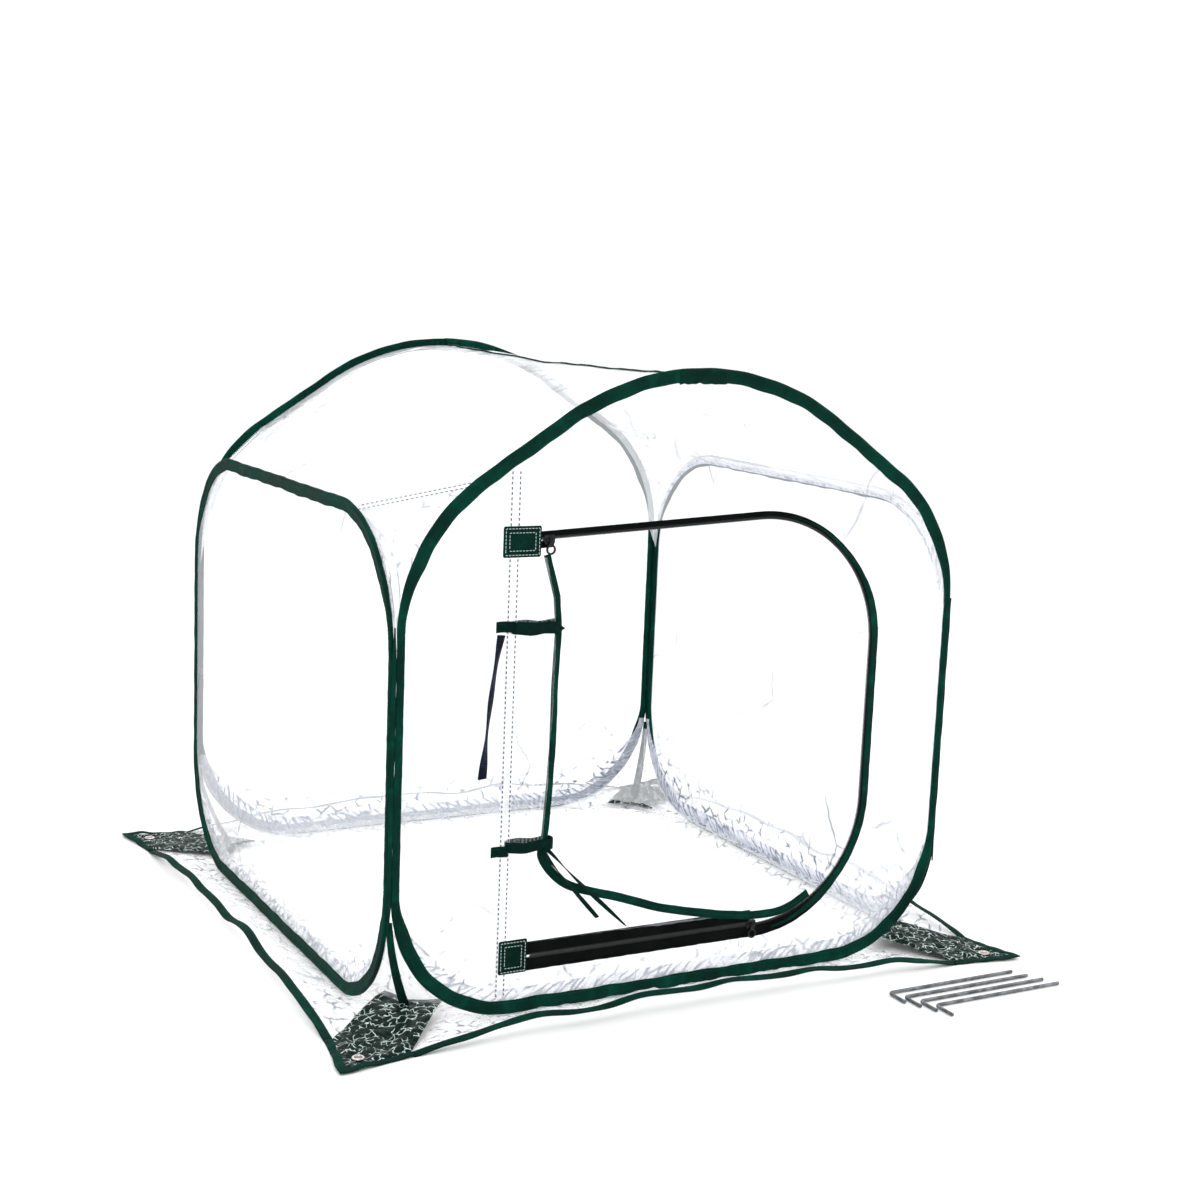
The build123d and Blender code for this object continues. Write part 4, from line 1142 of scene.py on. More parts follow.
def hem_stitches(name, centres, out, normal, material):
    steps = np.linalg.norm(np.diff(centres, axis=0), axis=1)
    along = np.concatenate([[0], np.cumsum(steps)])
    at = np.arange(3.0, along[-1] - 2.0, 4.6)
    middle = np.stack([np.interp(at, along, centres[:, k]) for k in range(3)], -1)
    side = unit(np.stack([np.interp(at, along, out[:, k]) for k in range(3)], -1))
    up = unit(np.stack([np.interp(at, along, normal[:, k]) for k in range(3)], -1))
    places = middle + side * 2.2 + up * 1.2
    return beads(name, places, unit(np.cross(side, up)), up, (3.2, 0.5, 0.45), material)


def hem_band(centres, flat_out, seed, roll):
    """A folded hem along a line, its outer edge rolling up and down a little."""
    ahead = np.gradient(centres, axis=0)
    steps = np.concatenate([[0], np.cumsum(np.linalg.norm(np.diff(centres, axis=0), axis=1))])
    tilt = roll * ripple(steps, (160.0, 97.0, 58.0), seed)[:, None] - 0.18
    up = np.array([0.0, 0.0, 1.0])
    out = unit(flat_out * np.cos(tilt) + up * np.sin(tilt))
    normal = unit(np.cross(out, unit(ahead)))
    normal = normal * np.sign(normal[:, 2:])
    return out, normal


def make_hem(wall, seed):
    run = np.linspace(-SKIRT_RUN, SKIRT_RUN, 141)
    centres = from_wall(wall, run, SKIRT_OUT, 0.2 + hem_lift(run, seed))
    flat_out = np.broadcast_to(wall_normal(wall), centres.shape)
    out, normal = hem_band(centres, flat_out, seed + 5, 0.16)
    made = swept(f"skirt_hem_{wall}", centres, out, normal, HEM_PROFILE, GREEN)
    thread = hem_stitches(f"hem_stitches_{wall}", centres, out, normal, GREEN_THREAD)
    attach(made, f"{wall}_wall")
    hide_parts(f"hem_{wall}")
    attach(thread, f"{wall}_wall")


for seed, wall_name in enumerate(WALLS):
    make_skirt(wall_name, 400 + 20 * seed)
    make_hem(wall_name, 400 + 20 * seed)


# ---- Corners: patch, eyelet, hem tip, base gusset and its strip ----
def bend_corner(obj, corner):
    """A corner piece: at the open corner it rides on the back wall; elsewhere its place is only baked into its mesh.
    """
    sx, sy, first, second = CORNERS[corner]
    if second is None:
        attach(obj, first)
        return
    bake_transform(obj)


# How far a patch climbs from the ground to the foot of the walls' corner.
PATCH_RISE = {"front": 14.0, "back": 5.0}


def make_patch(corner, seed):
    sx, sy, _, _ = CORNERS[corner]
    outline = np.array(
        [(FLOOR_CORNER, FLOOR_CORNER), PATCH_START, (SKIRT_RUN, SKIRT_OUT), (TIP_OUT, TIP_OUT),
         (SKIRT_OUT, SKIRT_RUN), PATCH_START[::-1]]
    )[::-1]
    ring = rounded((outline, [0] * len(outline)), 4.0)
    turns = 2 * np.pi * np.arange(20) / 20
    hole = EYELET_AT + 4.6 * np.stack([np.cos(turns), np.sin(turns)], -1)
    points, faces, edge = cut_sheet(ring, [hole], 4.0, seed)
    x, y = points.T
    eyelet = smooth((np.hypot(x - EYELET_AT, y - EYELET_AT) - 7.5) / 12.0)
    fold = crumple(x, y, 15.0, seed) + 0.6 * crumple(x, y, 34.0, seed + 1)
    outward = (x + y - 2 * FLOOR_CORNER) / (2 * (TIP_OUT - FLOOR_CORNER))
    rise = PATCH_RISE[corner.split("_")[0]] * (1 - smooth(outward * 1.5))
    z = 1.1 + rise + (fold + 1.3) * 2.0 * eyelet * (0.4 + 0.6 * smooth(edge / 7.0))
    if sx * sy < 0:
        faces = faces[:, ::-1]
    made = piece(f"woven_patch_{corner}", np.column_stack([sx * x, sy * y, z]), faces, PATCH, flat=points)
    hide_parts(f"corner_patch_{corner}")
    bend_corner(made, corner)


# The eyelet's half section: distance from its axis, and height.
EYELET_SECTION = ((4.1, 0.5), (4.0, 1.2), (4.05, 2.4), (4.5, 3.0), (5.4, 3.1), (6.6, 2.8), (7.2, 2.2), (6.9, 1.9),
                  (5.4, 1.8), (5.0, 1.2), (5.2, 0.7), (7.0, 0.6), (6.6, 0.25), (5.0, 0.15))


def make_eyelet(corner):
    sx, sy, _, _ = CORNERS[corner]
    turns = 2 * np.pi * np.arange(40) / 40
    spokes = np.stack([np.cos(turns), np.sin(turns), np.zeros(40)], -1)
    centres = np.broadcast_to(np.array([sx * EYELET_AT, sy * EYELET_AT, 0.0]), spokes.shape)
    up = np.broadcast_to(np.array([0.0, 0.0, 1.0]), spokes.shape)
    made = swept(f"eyelet_{corner}", centres, spokes, up, np.array(EYELET_SECTION), EYELET, closed=True)
    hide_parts(f"eyelets_{corner.split('_')[0]}")
    bend_corner(made, corner)


def make_hem_tip(corner, seed):
    """The hem round the patch's outer corner, from one straight hem to the other."""
    sx, sy, _, _ = CORNERS[corner]
    tip = TIP_OUT + 1.0
    legs = curve_through([(SKIRT_RUN, SKIRT_OUT), (385.0, 417.5), (tip - 7.0, tip - 3.0)], 5.0)
    line = np.vstack([legs, [(tip, tip)], legs[::-1, ::-1]])
    run = unit(np.gradient(line, axis=0))
    out = np.stack([-run[:, 1], run[:, 0]], -1)
    side, other = np.linspace(0, 1, len(line))[:, None], unit(np.array([1.0, 1.0]))
    square = np.where(side < 0.5, (0.0, 1.0), (1.0, 0.0))
    corner_share = smooth((12.0 - np.linalg.norm(line - tip, axis=1, keepdims=True)) / 12.0)
    out = unit(square * (1 - corner_share) + other * corner_share)
    ends = np.abs(side[:, 0] - 0.5) * 2
    lift = 1.0 + 2.2 * (1 - smooth((ends - 0.2) / 0.5)) + 1.1 * ripple(side[:, 0] * 170, (52.0, 29.0), seed)
    centres = np.column_stack([sx * line[:, 0], sy * line[:, 1], np.maximum(lift, 0.9)])
    flat_out = np.column_stack([sx * out[:, 0], sy * out[:, 1], np.zeros(len(line))])
    bent, _ = hem_band(centres, flat_out, seed + 3, 0.12)
    bent = unit(bent * (1, 1, 0) + (0, 0, -0.04))
    up = np.broadcast_to(np.array([0.0, 0.0, 1.0]), centres.shape)
    made = swept(f"hem_corner_{corner}", centres, bent, up, HEM_PROFILE, GREEN)
    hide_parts(*[f"hem_{name}" for name in corner.split("_")])
    bend_corner(made, corner)
    thread = hem_stitches(f"hem_corner_stitches_{corner}", centres, bent, up, GREEN_THREAD)
    bend_corner(thread, corner)


def gusset_fold(z):
    """How far out the base gusset's fold line stands at a height, on both axes."""
    share = np.clip(1 - z / GUSSET_TOP_Z, 0, 1)
    return SKIRT_INNER - (SKIRT_INNER - FLOOR_CORNER) * share**GUSSET_BELLY


def gusset_arm(z):
    """How far along the wall the gusset reaches at a height, behind the loop's rounded corner."""
    radius = ARCH_BOTTOM_R + BAND_WIDTH / 2 - GUSSET_BITE
    below = LIFT + ARCH_BOTTOM_R - z
    return FLOOR_RUN + np.sqrt(np.clip(radius**2 - below**2, 0, None))


def make_base_gusset(corner, seed):
    sx, sy, _, _ = CORNERS[corner]
    heights = np.linspace(1.8, 112.0, 26)[:, None]
    half = np.linspace(0, 1, 15)[None]
    fold, arm = gusset_fold(heights), gusset_arm(heights)
    near_x, near_y = arm + (fold - arm) * half, FLOOR_EDGE + (fold - FLOOR_EDGE) * half
    x = np.concatenate([near_x, near_y[:, ::-1][:, 1:]], 1)
    y = np.concatenate([near_y, near_x[:, ::-1][:, 1:]], 1)
    z = np.broadcast_to(heights, x.shape)
    across = np.concatenate([half - 1, (1 - half[:, ::-1])[:, 1:]], 1) * 60.0
    pull = smooth((60.0 - np.abs(across)) / 14.0) * smooth(np.abs(across) / 8.0)
    wave = pull * (2.2 * crumple(across, z * 0.6, 20.0, seed) - 1.4)
    x, y = x + wave * 0.7, y + wave * 0.7
    crinkle = np.full(x.shape, 0.55)
    points = np.stack([sx * x, sy * y, z], -1)
    flat = np.stack([np.broadcast_to(across, z.shape), z], -1)
    made = surface(f"base_gusset_{corner}", points, flat, FILM, crinkle)
    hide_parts(f"base_gussets_{corner.split('_')[0]}")
    bend_corner(made, corner)


def make_strip(corner):
    """The binding strip sewn over the base gusset's upright fold."""
    sx, sy, _, _ = CORNERS[corner]
    heights = np.linspace(12.0, STRIP_TOP_Z + 30.0, 24)
    fold = gusset_fold(heights) + 0.8
    centres = np.column_stack([sx * fold, sy * fold, heights])
    out = np.broadcast_to(unit(np.array([sx, -sy, 0.0])), centres.shape)
    run = unit(np.gradient(centres, axis=0))
    normal = unit(np.cross(out, run))
    normal = normal * np.sign(normal @ np.array([sx, sy, 0.0]))[:, None]
    half = (6.5 - 2.2 * (heights / STRIP_TOP_Z))[:, None]
    arch = np.array([(-1, 0.0), (-0.92, 0.55), (-0.4, 0.95), (0.0, 1.15), (0.4, 0.95), (0.92, 0.55), (1, 0.0),
                     (0.9, -0.2), (0.0, -0.3), (-0.9, -0.2)])
    profile = np.stack([arch[None, :, 0] * half, np.broadcast_to(arch[None, :, 1], (len(heights), len(arch)))], -1)
    made = swept(f"corner_strip_{corner}", centres, out, normal, profile, GREEN)
    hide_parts(f"corner_strips_{corner.split('_')[0]}")
    bend_corner(made, corner)


def make_corner_seam(corner, seed):
    """The strip of cloth that joins two neighbouring bindings up their straight sides."""
    sx, sy, _, _ = CORNERS[corner]
    heights = np.arange(110.0, 436.0, 5.0)
    off = 355.1 + 0.25 * ripple(heights, (90.0, 41.0), seed)
    centres = np.column_stack([sx * off, sy * off, heights])
    out = np.broadcast_to(unit(np.array([sx, -sy, 0.0])), centres.shape)
    normal = np.broadcast_to(unit(np.array([sx, sy, 0.0])), centres.shape)
    taper = 0.25 + 0.75 * smooth((heights - heights[0]) / 40.0) * smooth((heights[-1] - heights) / 40.0)
    profile = flat_profile(-2.6, 2.6, 1.3, 0.2) * np.stack([taper, np.ones(len(taper))], -1)[:, None, :]
    made = swept(f"corner_seam_{corner}", centres, out, normal, profile, GREEN)
    bend_corner(made, corner)


for seed, corner_name in enumerate(CORNERS):
    make_corner_seam(corner_name, 490 + 9 * seed)
    make_base_gusset(corner_name, 500 + 9 * seed)
    make_strip(corner_name)
    make_patch(corner_name, 540 + 9 * seed)
    make_eyelet(corner_name)
    make_hem_tip(corner_name, 580 + 9 * seed)


# ---- Zip ----
def zip_teeth(name, line, near, far, first, material):
    point, out = line.marks(1.5, first)
    middle = point + out * (near + far) / 2
    places = on_wall("front", middle[:, 0], middle[:, 1], 0.0)
    along = wall_vector("front", out[:, 0], out[:, 1])
    up = np.broadcast_to(wall_normal("front"), places.shape)
    return beads(name, places, along, up, (far - near, 1.1, 2.0), material)


def tape_profile(line, side):
    """The tape's profile at each place of the zip's line, on one side of it."""
    base = flat_profile(0.0, 1.0, 0.9)
    reach = tape_reach(line.points[:, 1])
    near = 1.2
    shape = np.empty((len(reach), len(base), 2))
    shape[..., 0] = side * (near + base[None, :, 0] * (reach - near)[:, None])
    shape[..., 1] = base[None, :, 1] + 0.25 * ripple(line.along, (46.0, 19.0), 603)[:, None] * base[None, :, 0]
    return shape


def make_zip():
    whole = door_line(0.0)
    lower = whole.where(lambda p: (p[:, 0] < ZIPPED_TO_X) & (p[:, 1] < 200))
    upper = whole.where(lambda p: (p[:, 0] < TOP_ZIPPED_TO_X) & (p[:, 1] > 400))
    toothed = whole.where(lambda p: (p[:, 0] > -192.0) | (p[:, 1] > 400))
    frame_tape = wall_band("zip_tape_on_frame", "front", whole, tape_profile(whole, 1), BLACK_TAPE)
    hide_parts("zip_tape_frame")
    teeth = zip_teeth("zip_teeth_on_frame", toothed, -0.5, 3.1, 0.4, COIL)
    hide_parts("zip_coil_frame")
    made = [frame_tape, teeth]
    for label, stretch in (("lower", lower), ("upper", upper)):
        tape = wall_band(f"zip_tape_on_door_{label}", "front", stretch, tape_profile(stretch, -1), BLACK_TAPE)
        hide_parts("zip_tape_door")
        joined = stretch.where(lambda p: p[:, 0] > -192.0)
        row = zip_teeth(f"zip_teeth_on_door_{label}", joined, -3.1, 0.5, 1.15, COIL)
        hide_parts("zip_coil_door")
        made += [tape, row]
    # A row of stitches holds the tape to the film.
    edge = Path(door_hole(1.8))
    made.append(stitch_row("zip_tape_stitches", "front", [edge], 0.75, 4.0, BLACK_TAPE, 0.6))
    # Round the right-hand side a folded binding covers the tape.
    covered = whole.where(lambda p: p[:, 0] > ZIPPED_TO_X + 22.0)
    base = flat_profile(0.0, 1.0, 2.4, 0.3)
    reach = tape_reach(covered.points[:, 1])
    ends = smooth(np.minimum(covered.along, covered.total - covered.along) / 90.0)
    middle = 2.5 + (reach - 2.5) * 0.5 + 0.7 * ripple(covered.along, (210.0, 87.0), 622)
    half = (reach - 4.6) * 0.5 * (0.25 + 0.75 * ends)
    shape = np.empty((len(reach), len(base), 2))
    shape[..., 0] = middle[:, None] + (base[None, :, 0] * 2 - 1) * half[:, None]
    shape[..., 1] = base[None, :, 1] * (0.75 + 0.25 * ends[:, None])
    cover = wall_band("zip_cover_binding", "front", covered, shape, GREEN)
    made.append(cover)
    for obj in made:
        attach(obj, "front_wall")


def box_path(x0, x1, z0, z1, inset, radius):
    left, right, low, high = x0 + inset, x1 - inset, z0 + inset, z1 - inset
    corners = [(left, low), (right, low), (right, high), (left, high)]
    return rounded((corners, [radius] * 4), 3.0)


def make_end_patch(name, limits, seed):
    """A square of green cloth sewn over the zip's end at the door seam."""
    points, faces, edge = cut_sheet(box_path(*limits, 0.0, 2.0), [], 3.0, seed)
    x, z = points.T
    n = 1.0 + 0.5 * (crumple(x, z, 16.0, seed) + 1) * smooth(edge / 6.0)
    made = piece(name, on_wall("front", x, z, n), faces, GREEN_FLAT, flat=points)
    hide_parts(name.replace("cloth_", ""))
    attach(made, "front_wall")
    rows = [Path(box_path(*limits, inset, 1.0), closed=True) for inset in (2.6, 7.0)]
    thread = stitch_row(f"{name}_stitches", "front", rows, 2.1, 3.8, PALE_THREAD, 0.8)
    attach(thread, "front_wall")


make_zip()
make_end_patch("cloth_zip_end_patch_top", (-238.0, -194.0, 503.0, 536.0), 631)
make_end_patch("cloth_zip_end_patch_bottom", (-228.0, -194.0, 47.0, 85.0), 632)
double_seam(
    "door_seam", (SEAM_X + 1.0, -WALL_OUT - 0.6, 22.0), (SEAM_X + 1.0, -WALL_OUT - 0.6, 592.0), (0, -1, 0),
    "front_wall", 5.4, 9.0,
)


# ---- Door flap ----
FLAP_TOP_Z = 503.0
EDGE_HANG = ((-187.0, 505.0), (-181.0, 484.0), (-173.5, 458.0), (-171.0, 423.0), (-172.5, 369.0), (-172.5, 304.0),
             (-174.5, 255.0), (-177.0, 216.0), (-179.0, 190.0))
EDGE_SWEEP = ((-179.0, 190.0), (-181.0, 176.0), (-168.0, 156.0), (-146.0, 139.0), (-112.0, 127.0), (-80.0, 117.0),
              (-28.0, 99.0), (25.0, 86.0), (66.0, 78.5), (97.0, 74.5), (126.0, 74.5), (150.0, 81.0), (171.0, 92.5))
EDGE_PROFILE = np.array([(-4.0, 0.0), (-3.8, 0.8), (-3.0, 1.1), (0.0, 1.0), (3.0, 1.25), (3.8, 0.9), (4.0, 0.0),
                         (3.8, -0.9), (3.0, -1.25), (0.0, -1.0), (-3.0, -1.1), (-3.8, -0.8)])
EDGE_OUT = 2.0
PLEATS = 9.0


def flap_top(obj):
    """The flap's top hangs from the wall; here its place is only baked into its mesh."""
    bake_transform(obj)


def flap_foot(obj):
    """The zipped foot of the flap; here its place is only baked into its mesh."""
    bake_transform(obj)


def pleat_wave(s):
    """The flap's folds across its width, -1 to 1, with rounded crests."""
    turn = 2 * np.pi * PLEATS * s
    return np.sin(turn + 0.9 * np.sin(2 * np.pi * s) + 0.4 * np.sin(turn * 0.5))


def flap_places(s, z):
    """The gathered flap: drawn together at its two ties and fuller between them."""
    near_upper = np.exp(-(((z - TIE_UPPER_Z) / 26.0) ** 2))
    near_lower = np.exp(-(((z - TIE_LOWER_Z) / 26.0) ** 2))
    drawn = np.clip(near_upper * 0.75 + near_lower * 0.85, 0, 1)
    edge_x = np.interp(z, [p[1] for p in reversed(EDGE_HANG)], [p[0] for p in reversed(EDGE_HANG)]) - 1.0
    left = GATHER_LEFT + 3.0 * drawn
    lean = 1.6 * ripple(z, (210.0, 90.0), 702)
    x = left + (edge_x - left) * (s + 0.02 * np.sin(2 * np.pi * PLEATS * s * 2 + z / 40.0)) + lean * s * (1 - s) * 2
    depth = 5.2 * (1 - 0.45 * drawn)
    n = depth * pleat_wave(s + 0.012 * np.sin(z / 33.0)) * smooth(s * 9) * smooth((1 - s) * 14)
    n = n + 1.1 * crumple(s * 190.0, z, 42.0, 703) * (1 - drawn) + EDGE_OUT * s
    return on_wall("front", x, z, n)


def make_flap():
    s = np.linspace(0, 1, 145)[None]
    z = np.linspace(GATHER_Z[0], FLAP_TOP_Z, 62)[:, None]
    split = 46
    for label, rows in (("gathered", slice(0, split + 1)), ("top", slice(split, None))):
        zs = z[rows]
        points = flap_places(s, zs)
        flat = np.stack(np.broadcast_arrays(s * 300.0, zs), -1)
        crinkle = np.broadcast_to(0.22 + 0.3 * np.exp(-(((zs - TIE_UPPER_Z) / 40.0) ** 2)), points.shape[:2])
        made = surface(f"door_flap_{label}_film", points, flat, FLAP_FILM, crinkle)
        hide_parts("door_flap_gathered")
        if label == "top":
            flap_top(made)
        else:
            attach(made, "door_flap")


def edge_band(name, points, node_name, place, widen=1.0):
    line = Path(curve_through(points, 4.0))
    shape = ruffled(line, EDGE_PROFILE * (widen, 1.0), 711, 0.5, 0.3)
    shape[..., 1] += EDGE_OUT
    made = wall_band(name, "front", line, shape, GREEN)
    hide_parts(node_name)
    place(made)
    thread = stitch_row(f"{name}_stitches", "front", [line], EDGE_OUT + 1.25, 3.8, GREEN_THREAD)
    place(thread)


def make_flap_edges():
    upper = [p for p in EDGE_HANG if p[1] > 450]
    lower = [p for p in EDGE_HANG if p[1] < 460]
    edge_band("door_edge_top", upper, "door_edge_binding", flap_top)
    edge_band("door_edge_hanging", lower, "door_edge_binding", lambda obj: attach(obj, "door_flap"))
    edge_band("door_edge_sweep", EDGE_SWEEP, "door_edge_binding_lower", flap_foot, 1.25)


def make_flap_foot():
    """The part of the flap that is still zipped in: loose film from the zip up to the sweeping edge."""
    edge = curve_through(EDGE_SWEEP, 6.0)
    edge = edge[edge[:, 0] < ZIPPED_TO_X]
    shares = np.linspace(0, 1, 13)[:, None]
    foot_x = np.linspace(SEAM_X + 2.0, ZIPPED_TO_X, len(edge))[None]
    foot_z = ZIP_BOTTOM_Z + TAPE_FAR - 4.0
    top_x, top_z = edge[None, :, 0], edge[None, :, 1]
    x = foot_x + (top_x - foot_x) * shares**0.9
    z = foot_z + (top_z - foot_z) * shares
    flat = np.stack([x, z], -1)
    free = smooth(shares * 4)
    n = free * (2.2 + 1.7 * crumple(x * 0.6 + z, z * 0.5, 26.0, 721)) * (1 - 0.4 * shares) + EDGE_OUT * shares * 0.6
    crinkle = np.broadcast_to(0.35 + 0.25 * free, x.shape)
    made = surface("door_flap_foot_film", on_wall("front", x, z, n), flat, FLAP_FILM, crinkle)
    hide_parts("door_flap_lower")
    flap_foot(made)


make_flap()
make_flap_edges()
make_flap_foot()


# ---- Ties ----
def tie_loop(name, z, height, node_name):
    """A strap right round the gathered flap."""
    corners = [(-224.0, -7.2), (-168.2, -7.2), (-168.2, 7.2), (-224.0, 7.2)]
    line = Path(rounded((corners, [6.8] * 4), 2.0), closed=True)
    centres = np.column_stack([line.points[:, 0], -WALL_OUT + line.points[:, 1], np.full(len(line.points), z)])
    centres[:, 2] += 1.2 * ripple(line.along, (70.0, 33.0), 731, line.total)
    out = np.broadcast_to(np.array([0.0, 0.0, 1.0]), centres.shape)
    normal = np.column_stack([line.out, np.zeros(len(line.points))])
    profile = flat_profile(-height / 2, height / 2, 1.0, 0.15)
    made = swept(name, centres, out, normal, profile, GREEN_FLAT, closed=True)
    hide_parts(node_name)
    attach(made, "door_flap")


def strap(name, places, up, normal, height, thickness, material, body, pointed=False):
    """A flat strap along a line, with a pointed end if asked."""
    places = np.array(places, float)
    width = np.full(len(places), 1.0)
    if pointed:
        left = np.linalg.norm(places - places[-1], axis=1)
        width = np.clip(left / (height * 0.7), 0.06, 1.0)
    base = flat_profile(-height / 2, height / 2, thickness, 0.1)
    profile = np.stack([base[None, :, 0] * width[:, None], np.broadcast_to(base[:, 1], (len(places), len(base)))], -1)
    ups = np.broadcast_to(np.array(up, float), places.shape)
    normals = np.broadcast_to(np.array(normal, float), places.shape)
    made = swept(name, places, ups, normals, profile, material)
    if body:
        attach(made, body)
    return made


def make_ties():
    tie_loop("upper_tie_loop", TIE_UPPER_Z, 13.0, "tie_upper")
    tie_loop("lower_tie_loop", TIE_LOWER_Z, 12.0, "tie_lower")
    # The upper tie's free end lies across the loop's front and stops in a point.
    front_y = -WALL_OUT - 8.9
    line = curve_through(
        [(-223.0, front_y + 0.5, 430.5), (-200.0, front_y - 0.4, 429.0), (-166.5, front_y, 427.0)], 2.0
    )
    end = strap("upper_tie_end", line, (0, 0, 1), (0, -1, 0), 12.0, 1.0, GREEN_FLAT, "door_flap", pointed=True)
    for label, z, x0 in (("upper", 430.0, -243.0), ("lower", 186.0, -241.0)):
        # Each tie is sewn to the wall just left of the door seam.
        tab_line = curve_through([(x0, -WALL_OUT - 1.3, z), ((x0 - 229.0) / 2, -WALL_OUT - 1.6, z + 0.4),
                                  (-229.0, -WALL_OUT - 2.0, z), (-222.5, -WALL_OUT - 4.0, z)], 2.0)
        tab = strap(f"{label}_tie_tab", tab_line, (0, 0, 1), (0, -1, 0), 12.0, 1.0, GREEN_FLAT, None)
        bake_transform(tab)
        x = np.arange(x0 + 1.6, -232.0, 2.4)
        places = np.vstack([np.column_stack([x, np.full(len(x), -WALL_OUT - 2.4), np.full(len(x), z + dz)])
                            for dz in (-3.6, 3.6)])
        along = np.broadcast_to(np.array([1.0, 0.0, 0.0]), places.shape)
        up = np.broadcast_to(np.array([0.0, -1.0, 0.0]), places.shape)
        thread = beads(f"{label}_tie_tab_stitches", places, along, up, (1.7, 0.5, 0.5), GREEN_THREAD)
        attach(thread, "front_wall")


# The lower tie's two loose ribbon ends, from the loop down across the film: x, z and distance out.
RIBBONS = {
    "lower_tie_ribbon_long": ((-180.0, 187.0, 8.0), (-172.0, 180.0, 9.5), (-150.0, 156.0, 9.0), (-124.0, 131.0, 8.0),
                              (-98.0, 107.0, 7.6), (-76.0, 86.0, 7.0)),
    "lower_tie_ribbon_short": ((-182.0, 184.0, 8.0), (-176.0, 174.0, 9.5), (-158.0, 152.0, 9.5), (-136.0, 127.0, 8.4),
                               (-112.0, 100.0, 7.4)),
}
RIBBON_WIDTH = 5.0


def make_ribbons():
    """Each ribbon is a flat curve that turns over along its length."""
    for name, route in RIBBONS.items():
        curve = bpy.data.curves.new(name, "CURVE")
        curve.dimensions = "3D"
        curve.bevel_depth = 0.5 * MM
        curve.extrude = (RIBBON_WIDTH / 2 - 0.5) * MM
        curve.bevel_resolution = 2
        curve.resolution_u = 12
        curve.use_fill_caps = True
        spline = curve.splines.new("NURBS")
        spline.points.add(len(route) - 1)
        for k, (x, z, n) in enumerate(route):
            place = on_wall("front", x, z, n) * MM
            spline.points[k].co = (*place, 1.0)
            spline.points[k].tilt = 0.9 * k
        spline.order_u = 3
        spline.use_endpoint_u = True
        curve.materials.append(GREEN_FLAT)
        made = bpy.data.objects.new(name, curve)
        bpy.context.scene.collection.objects.link(made)
        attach(made, "door_flap")
        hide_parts("tie_lower")
        places = [on_wall("front", x, z, n) * MM for x, z, n in route]


def make_tail():
    """The upper tie's long webbing end, hanging outside the wall left of the seam."""
    line = curve_through(
        [(-240.0, 423.0), (-245.0, 392.0), (-250.0, 352.0), (-254.0, 308.0), (-257.0, 270.0)], 4.0
    )
    path = Path(line)
    base = flat_profile(-6.5, 6.5, 1.3, 0.1)
    turn = (0.75 + 0.35 * ripple(path.along, (150.0, 80.0), 742))[:, None]
    shape = np.empty((len(turn), len(base), 2))
    shape[..., 0] = base[:, 0] * np.cos(turn) - base[:, 1] * np.sin(turn)
    shape[..., 1] = base[:, 0] * np.sin(turn) + base[:, 1] * np.cos(turn) + 7.8
    made = wall_band("upper_tie_tail_webbing", "front", path, shape, WEBBING)
    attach(made, "front_wall")
    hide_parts("tie_upper_tail")


make_ties()
make_ribbons()
make_tail()

# ---- CAD nodes that show as they are ----
CAD_FINISH = {
    "wire_ferrule_": FERRULE,
    "wire_": SPRING,
    "top_slider": SLIDER,
    "bottom_slider": SLIDER,
    "ground_stakes": STAKE,
}
for node_name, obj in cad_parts.items():
    if obj.hide_render:
        continue
    finish = next(material for start, material in CAD_FINISH.items() if node_name.startswith(start))
    obj.data.materials.clear()
    obj.data.materials.append(finish)
    if "slider" in node_name:
        bevel = obj.modifiers.new("softened_edges", "BEVEL")
        bevel.width = 0.25 * MM
        bevel.segments = 2
        bevel.limit_method = "ANGLE"
        bevel.angle_limit = math.radians(35)
    obj.data.shade_smooth()
    obj.data.set_sharp_from_angle(angle=math.radians(32))

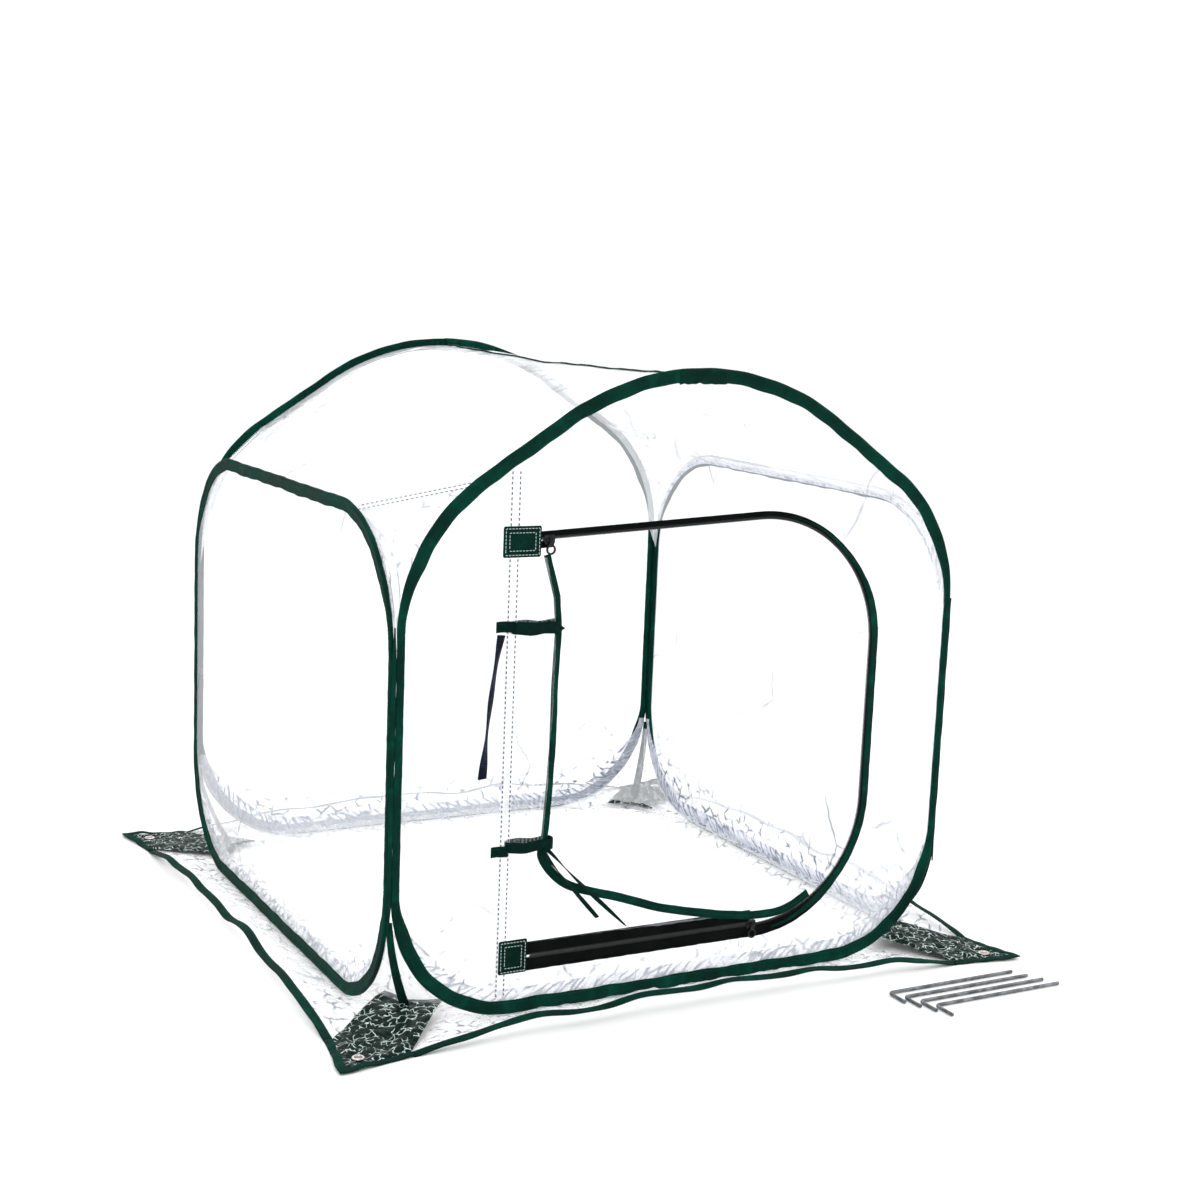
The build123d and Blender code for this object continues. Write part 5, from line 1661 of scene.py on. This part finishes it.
# ---- Floor of the studio, lights and camera ----
pale, pale_tree, pale_out = blank("studio_floor")
pale_noise = noise(pale_tree, node(pale_tree, "ShaderNodeTexCoord").outputs["Object"], 3.0).outputs["Fac"]
pale_body = node(
    pale_tree,
    "ShaderNodeBsdfPrincipled",
    {
        "Base Color": blend_colour(pale_tree, pale_noise, (0.93, 0.93, 0.93), (0.96, 0.96, 0.96)),
        "Roughness": 0.8,
    },
)
pale_tree.links.new(pale_body.outputs[0], pale_out.inputs["Surface"])
half_floor = 20000.0
studio_floor = piece(
    "studio_floor",
    [(-half_floor, -half_floor, -0.4), (half_floor, -half_floor, -0.4), (half_floor, half_floor, -0.4),
     (-half_floor, half_floor, -0.4)],
    [(0, 1, 2, 3)],
    pale,
    flat=np.zeros((4, 2)),
)

world = bpy.data.worlds.new("studio")
bpy.context.scene.world = world
world.use_nodes = True
world.node_tree.nodes["Background"].inputs["Color"].default_value = (1.0, 1.0, 1.0, 1.0)
world.node_tree.nodes["Background"].inputs["Strength"].default_value = 1.1


def area_light(name, place, size, watts):
    """A soft square light that points at the middle of the greenhouse."""
    data = bpy.data.lights.new(name, "AREA")
    data.size = size
    data.energy = watts
    light = bpy.data.objects.new(name, data)
    light.location = place
    light.rotation_mode = "QUATERNION"
    light.rotation_quaternion = (Vector((0, 0, 0.3)) - Vector(place)).to_track_quat("-Z", "Y")
    bpy.context.scene.collection.objects.link(light)


area_light("key_light", (-1.6, -2.0, 2.6), 1.6, 34)
area_light("fill_light", (2.4, -1.2, 1.8), 1.8, 12)
area_light("back_light", (0.8, 2.6, 2.2), 1.4, 16)

# The camera stands low in front and to the left, and looks slightly down.
CAMERA_PLACE = (-1.062973, -2.092935, 0.787129)
CAMERA_YAW, CAMERA_PITCH, CAMERA_ROLL = 0.4970, 0.1672, 0.0413
cos_yaw, sin_yaw = math.cos(CAMERA_YAW), math.sin(CAMERA_YAW)
cos_pitch, sin_pitch = math.cos(CAMERA_PITCH), math.sin(CAMERA_PITCH)
ahead = Vector((sin_yaw * cos_pitch, cos_yaw * cos_pitch, -sin_pitch))
level = Vector((cos_yaw, -sin_yaw, 0.0))
upright = level.cross(ahead)
right = level * math.cos(CAMERA_ROLL) + upright * math.sin(CAMERA_ROLL)
up = upright * math.cos(CAMERA_ROLL) - level * math.sin(CAMERA_ROLL)
camera_data = bpy.data.cameras.new("camera")
camera_data.lens = 56.157
camera_data.sensor_width = 36.0
camera = bpy.data.objects.new("camera", camera_data)
camera.matrix_world = Matrix.Translation(CAMERA_PLACE) @ Matrix((right, up, -ahead)).transposed().to_4x4()
bpy.context.scene.collection.objects.link(camera)
bpy.context.scene.camera = camera
bpy.context.scene.view_settings.view_transform = "Standard"
bpy.context.scene.cycles.transparent_max_bounces = 32
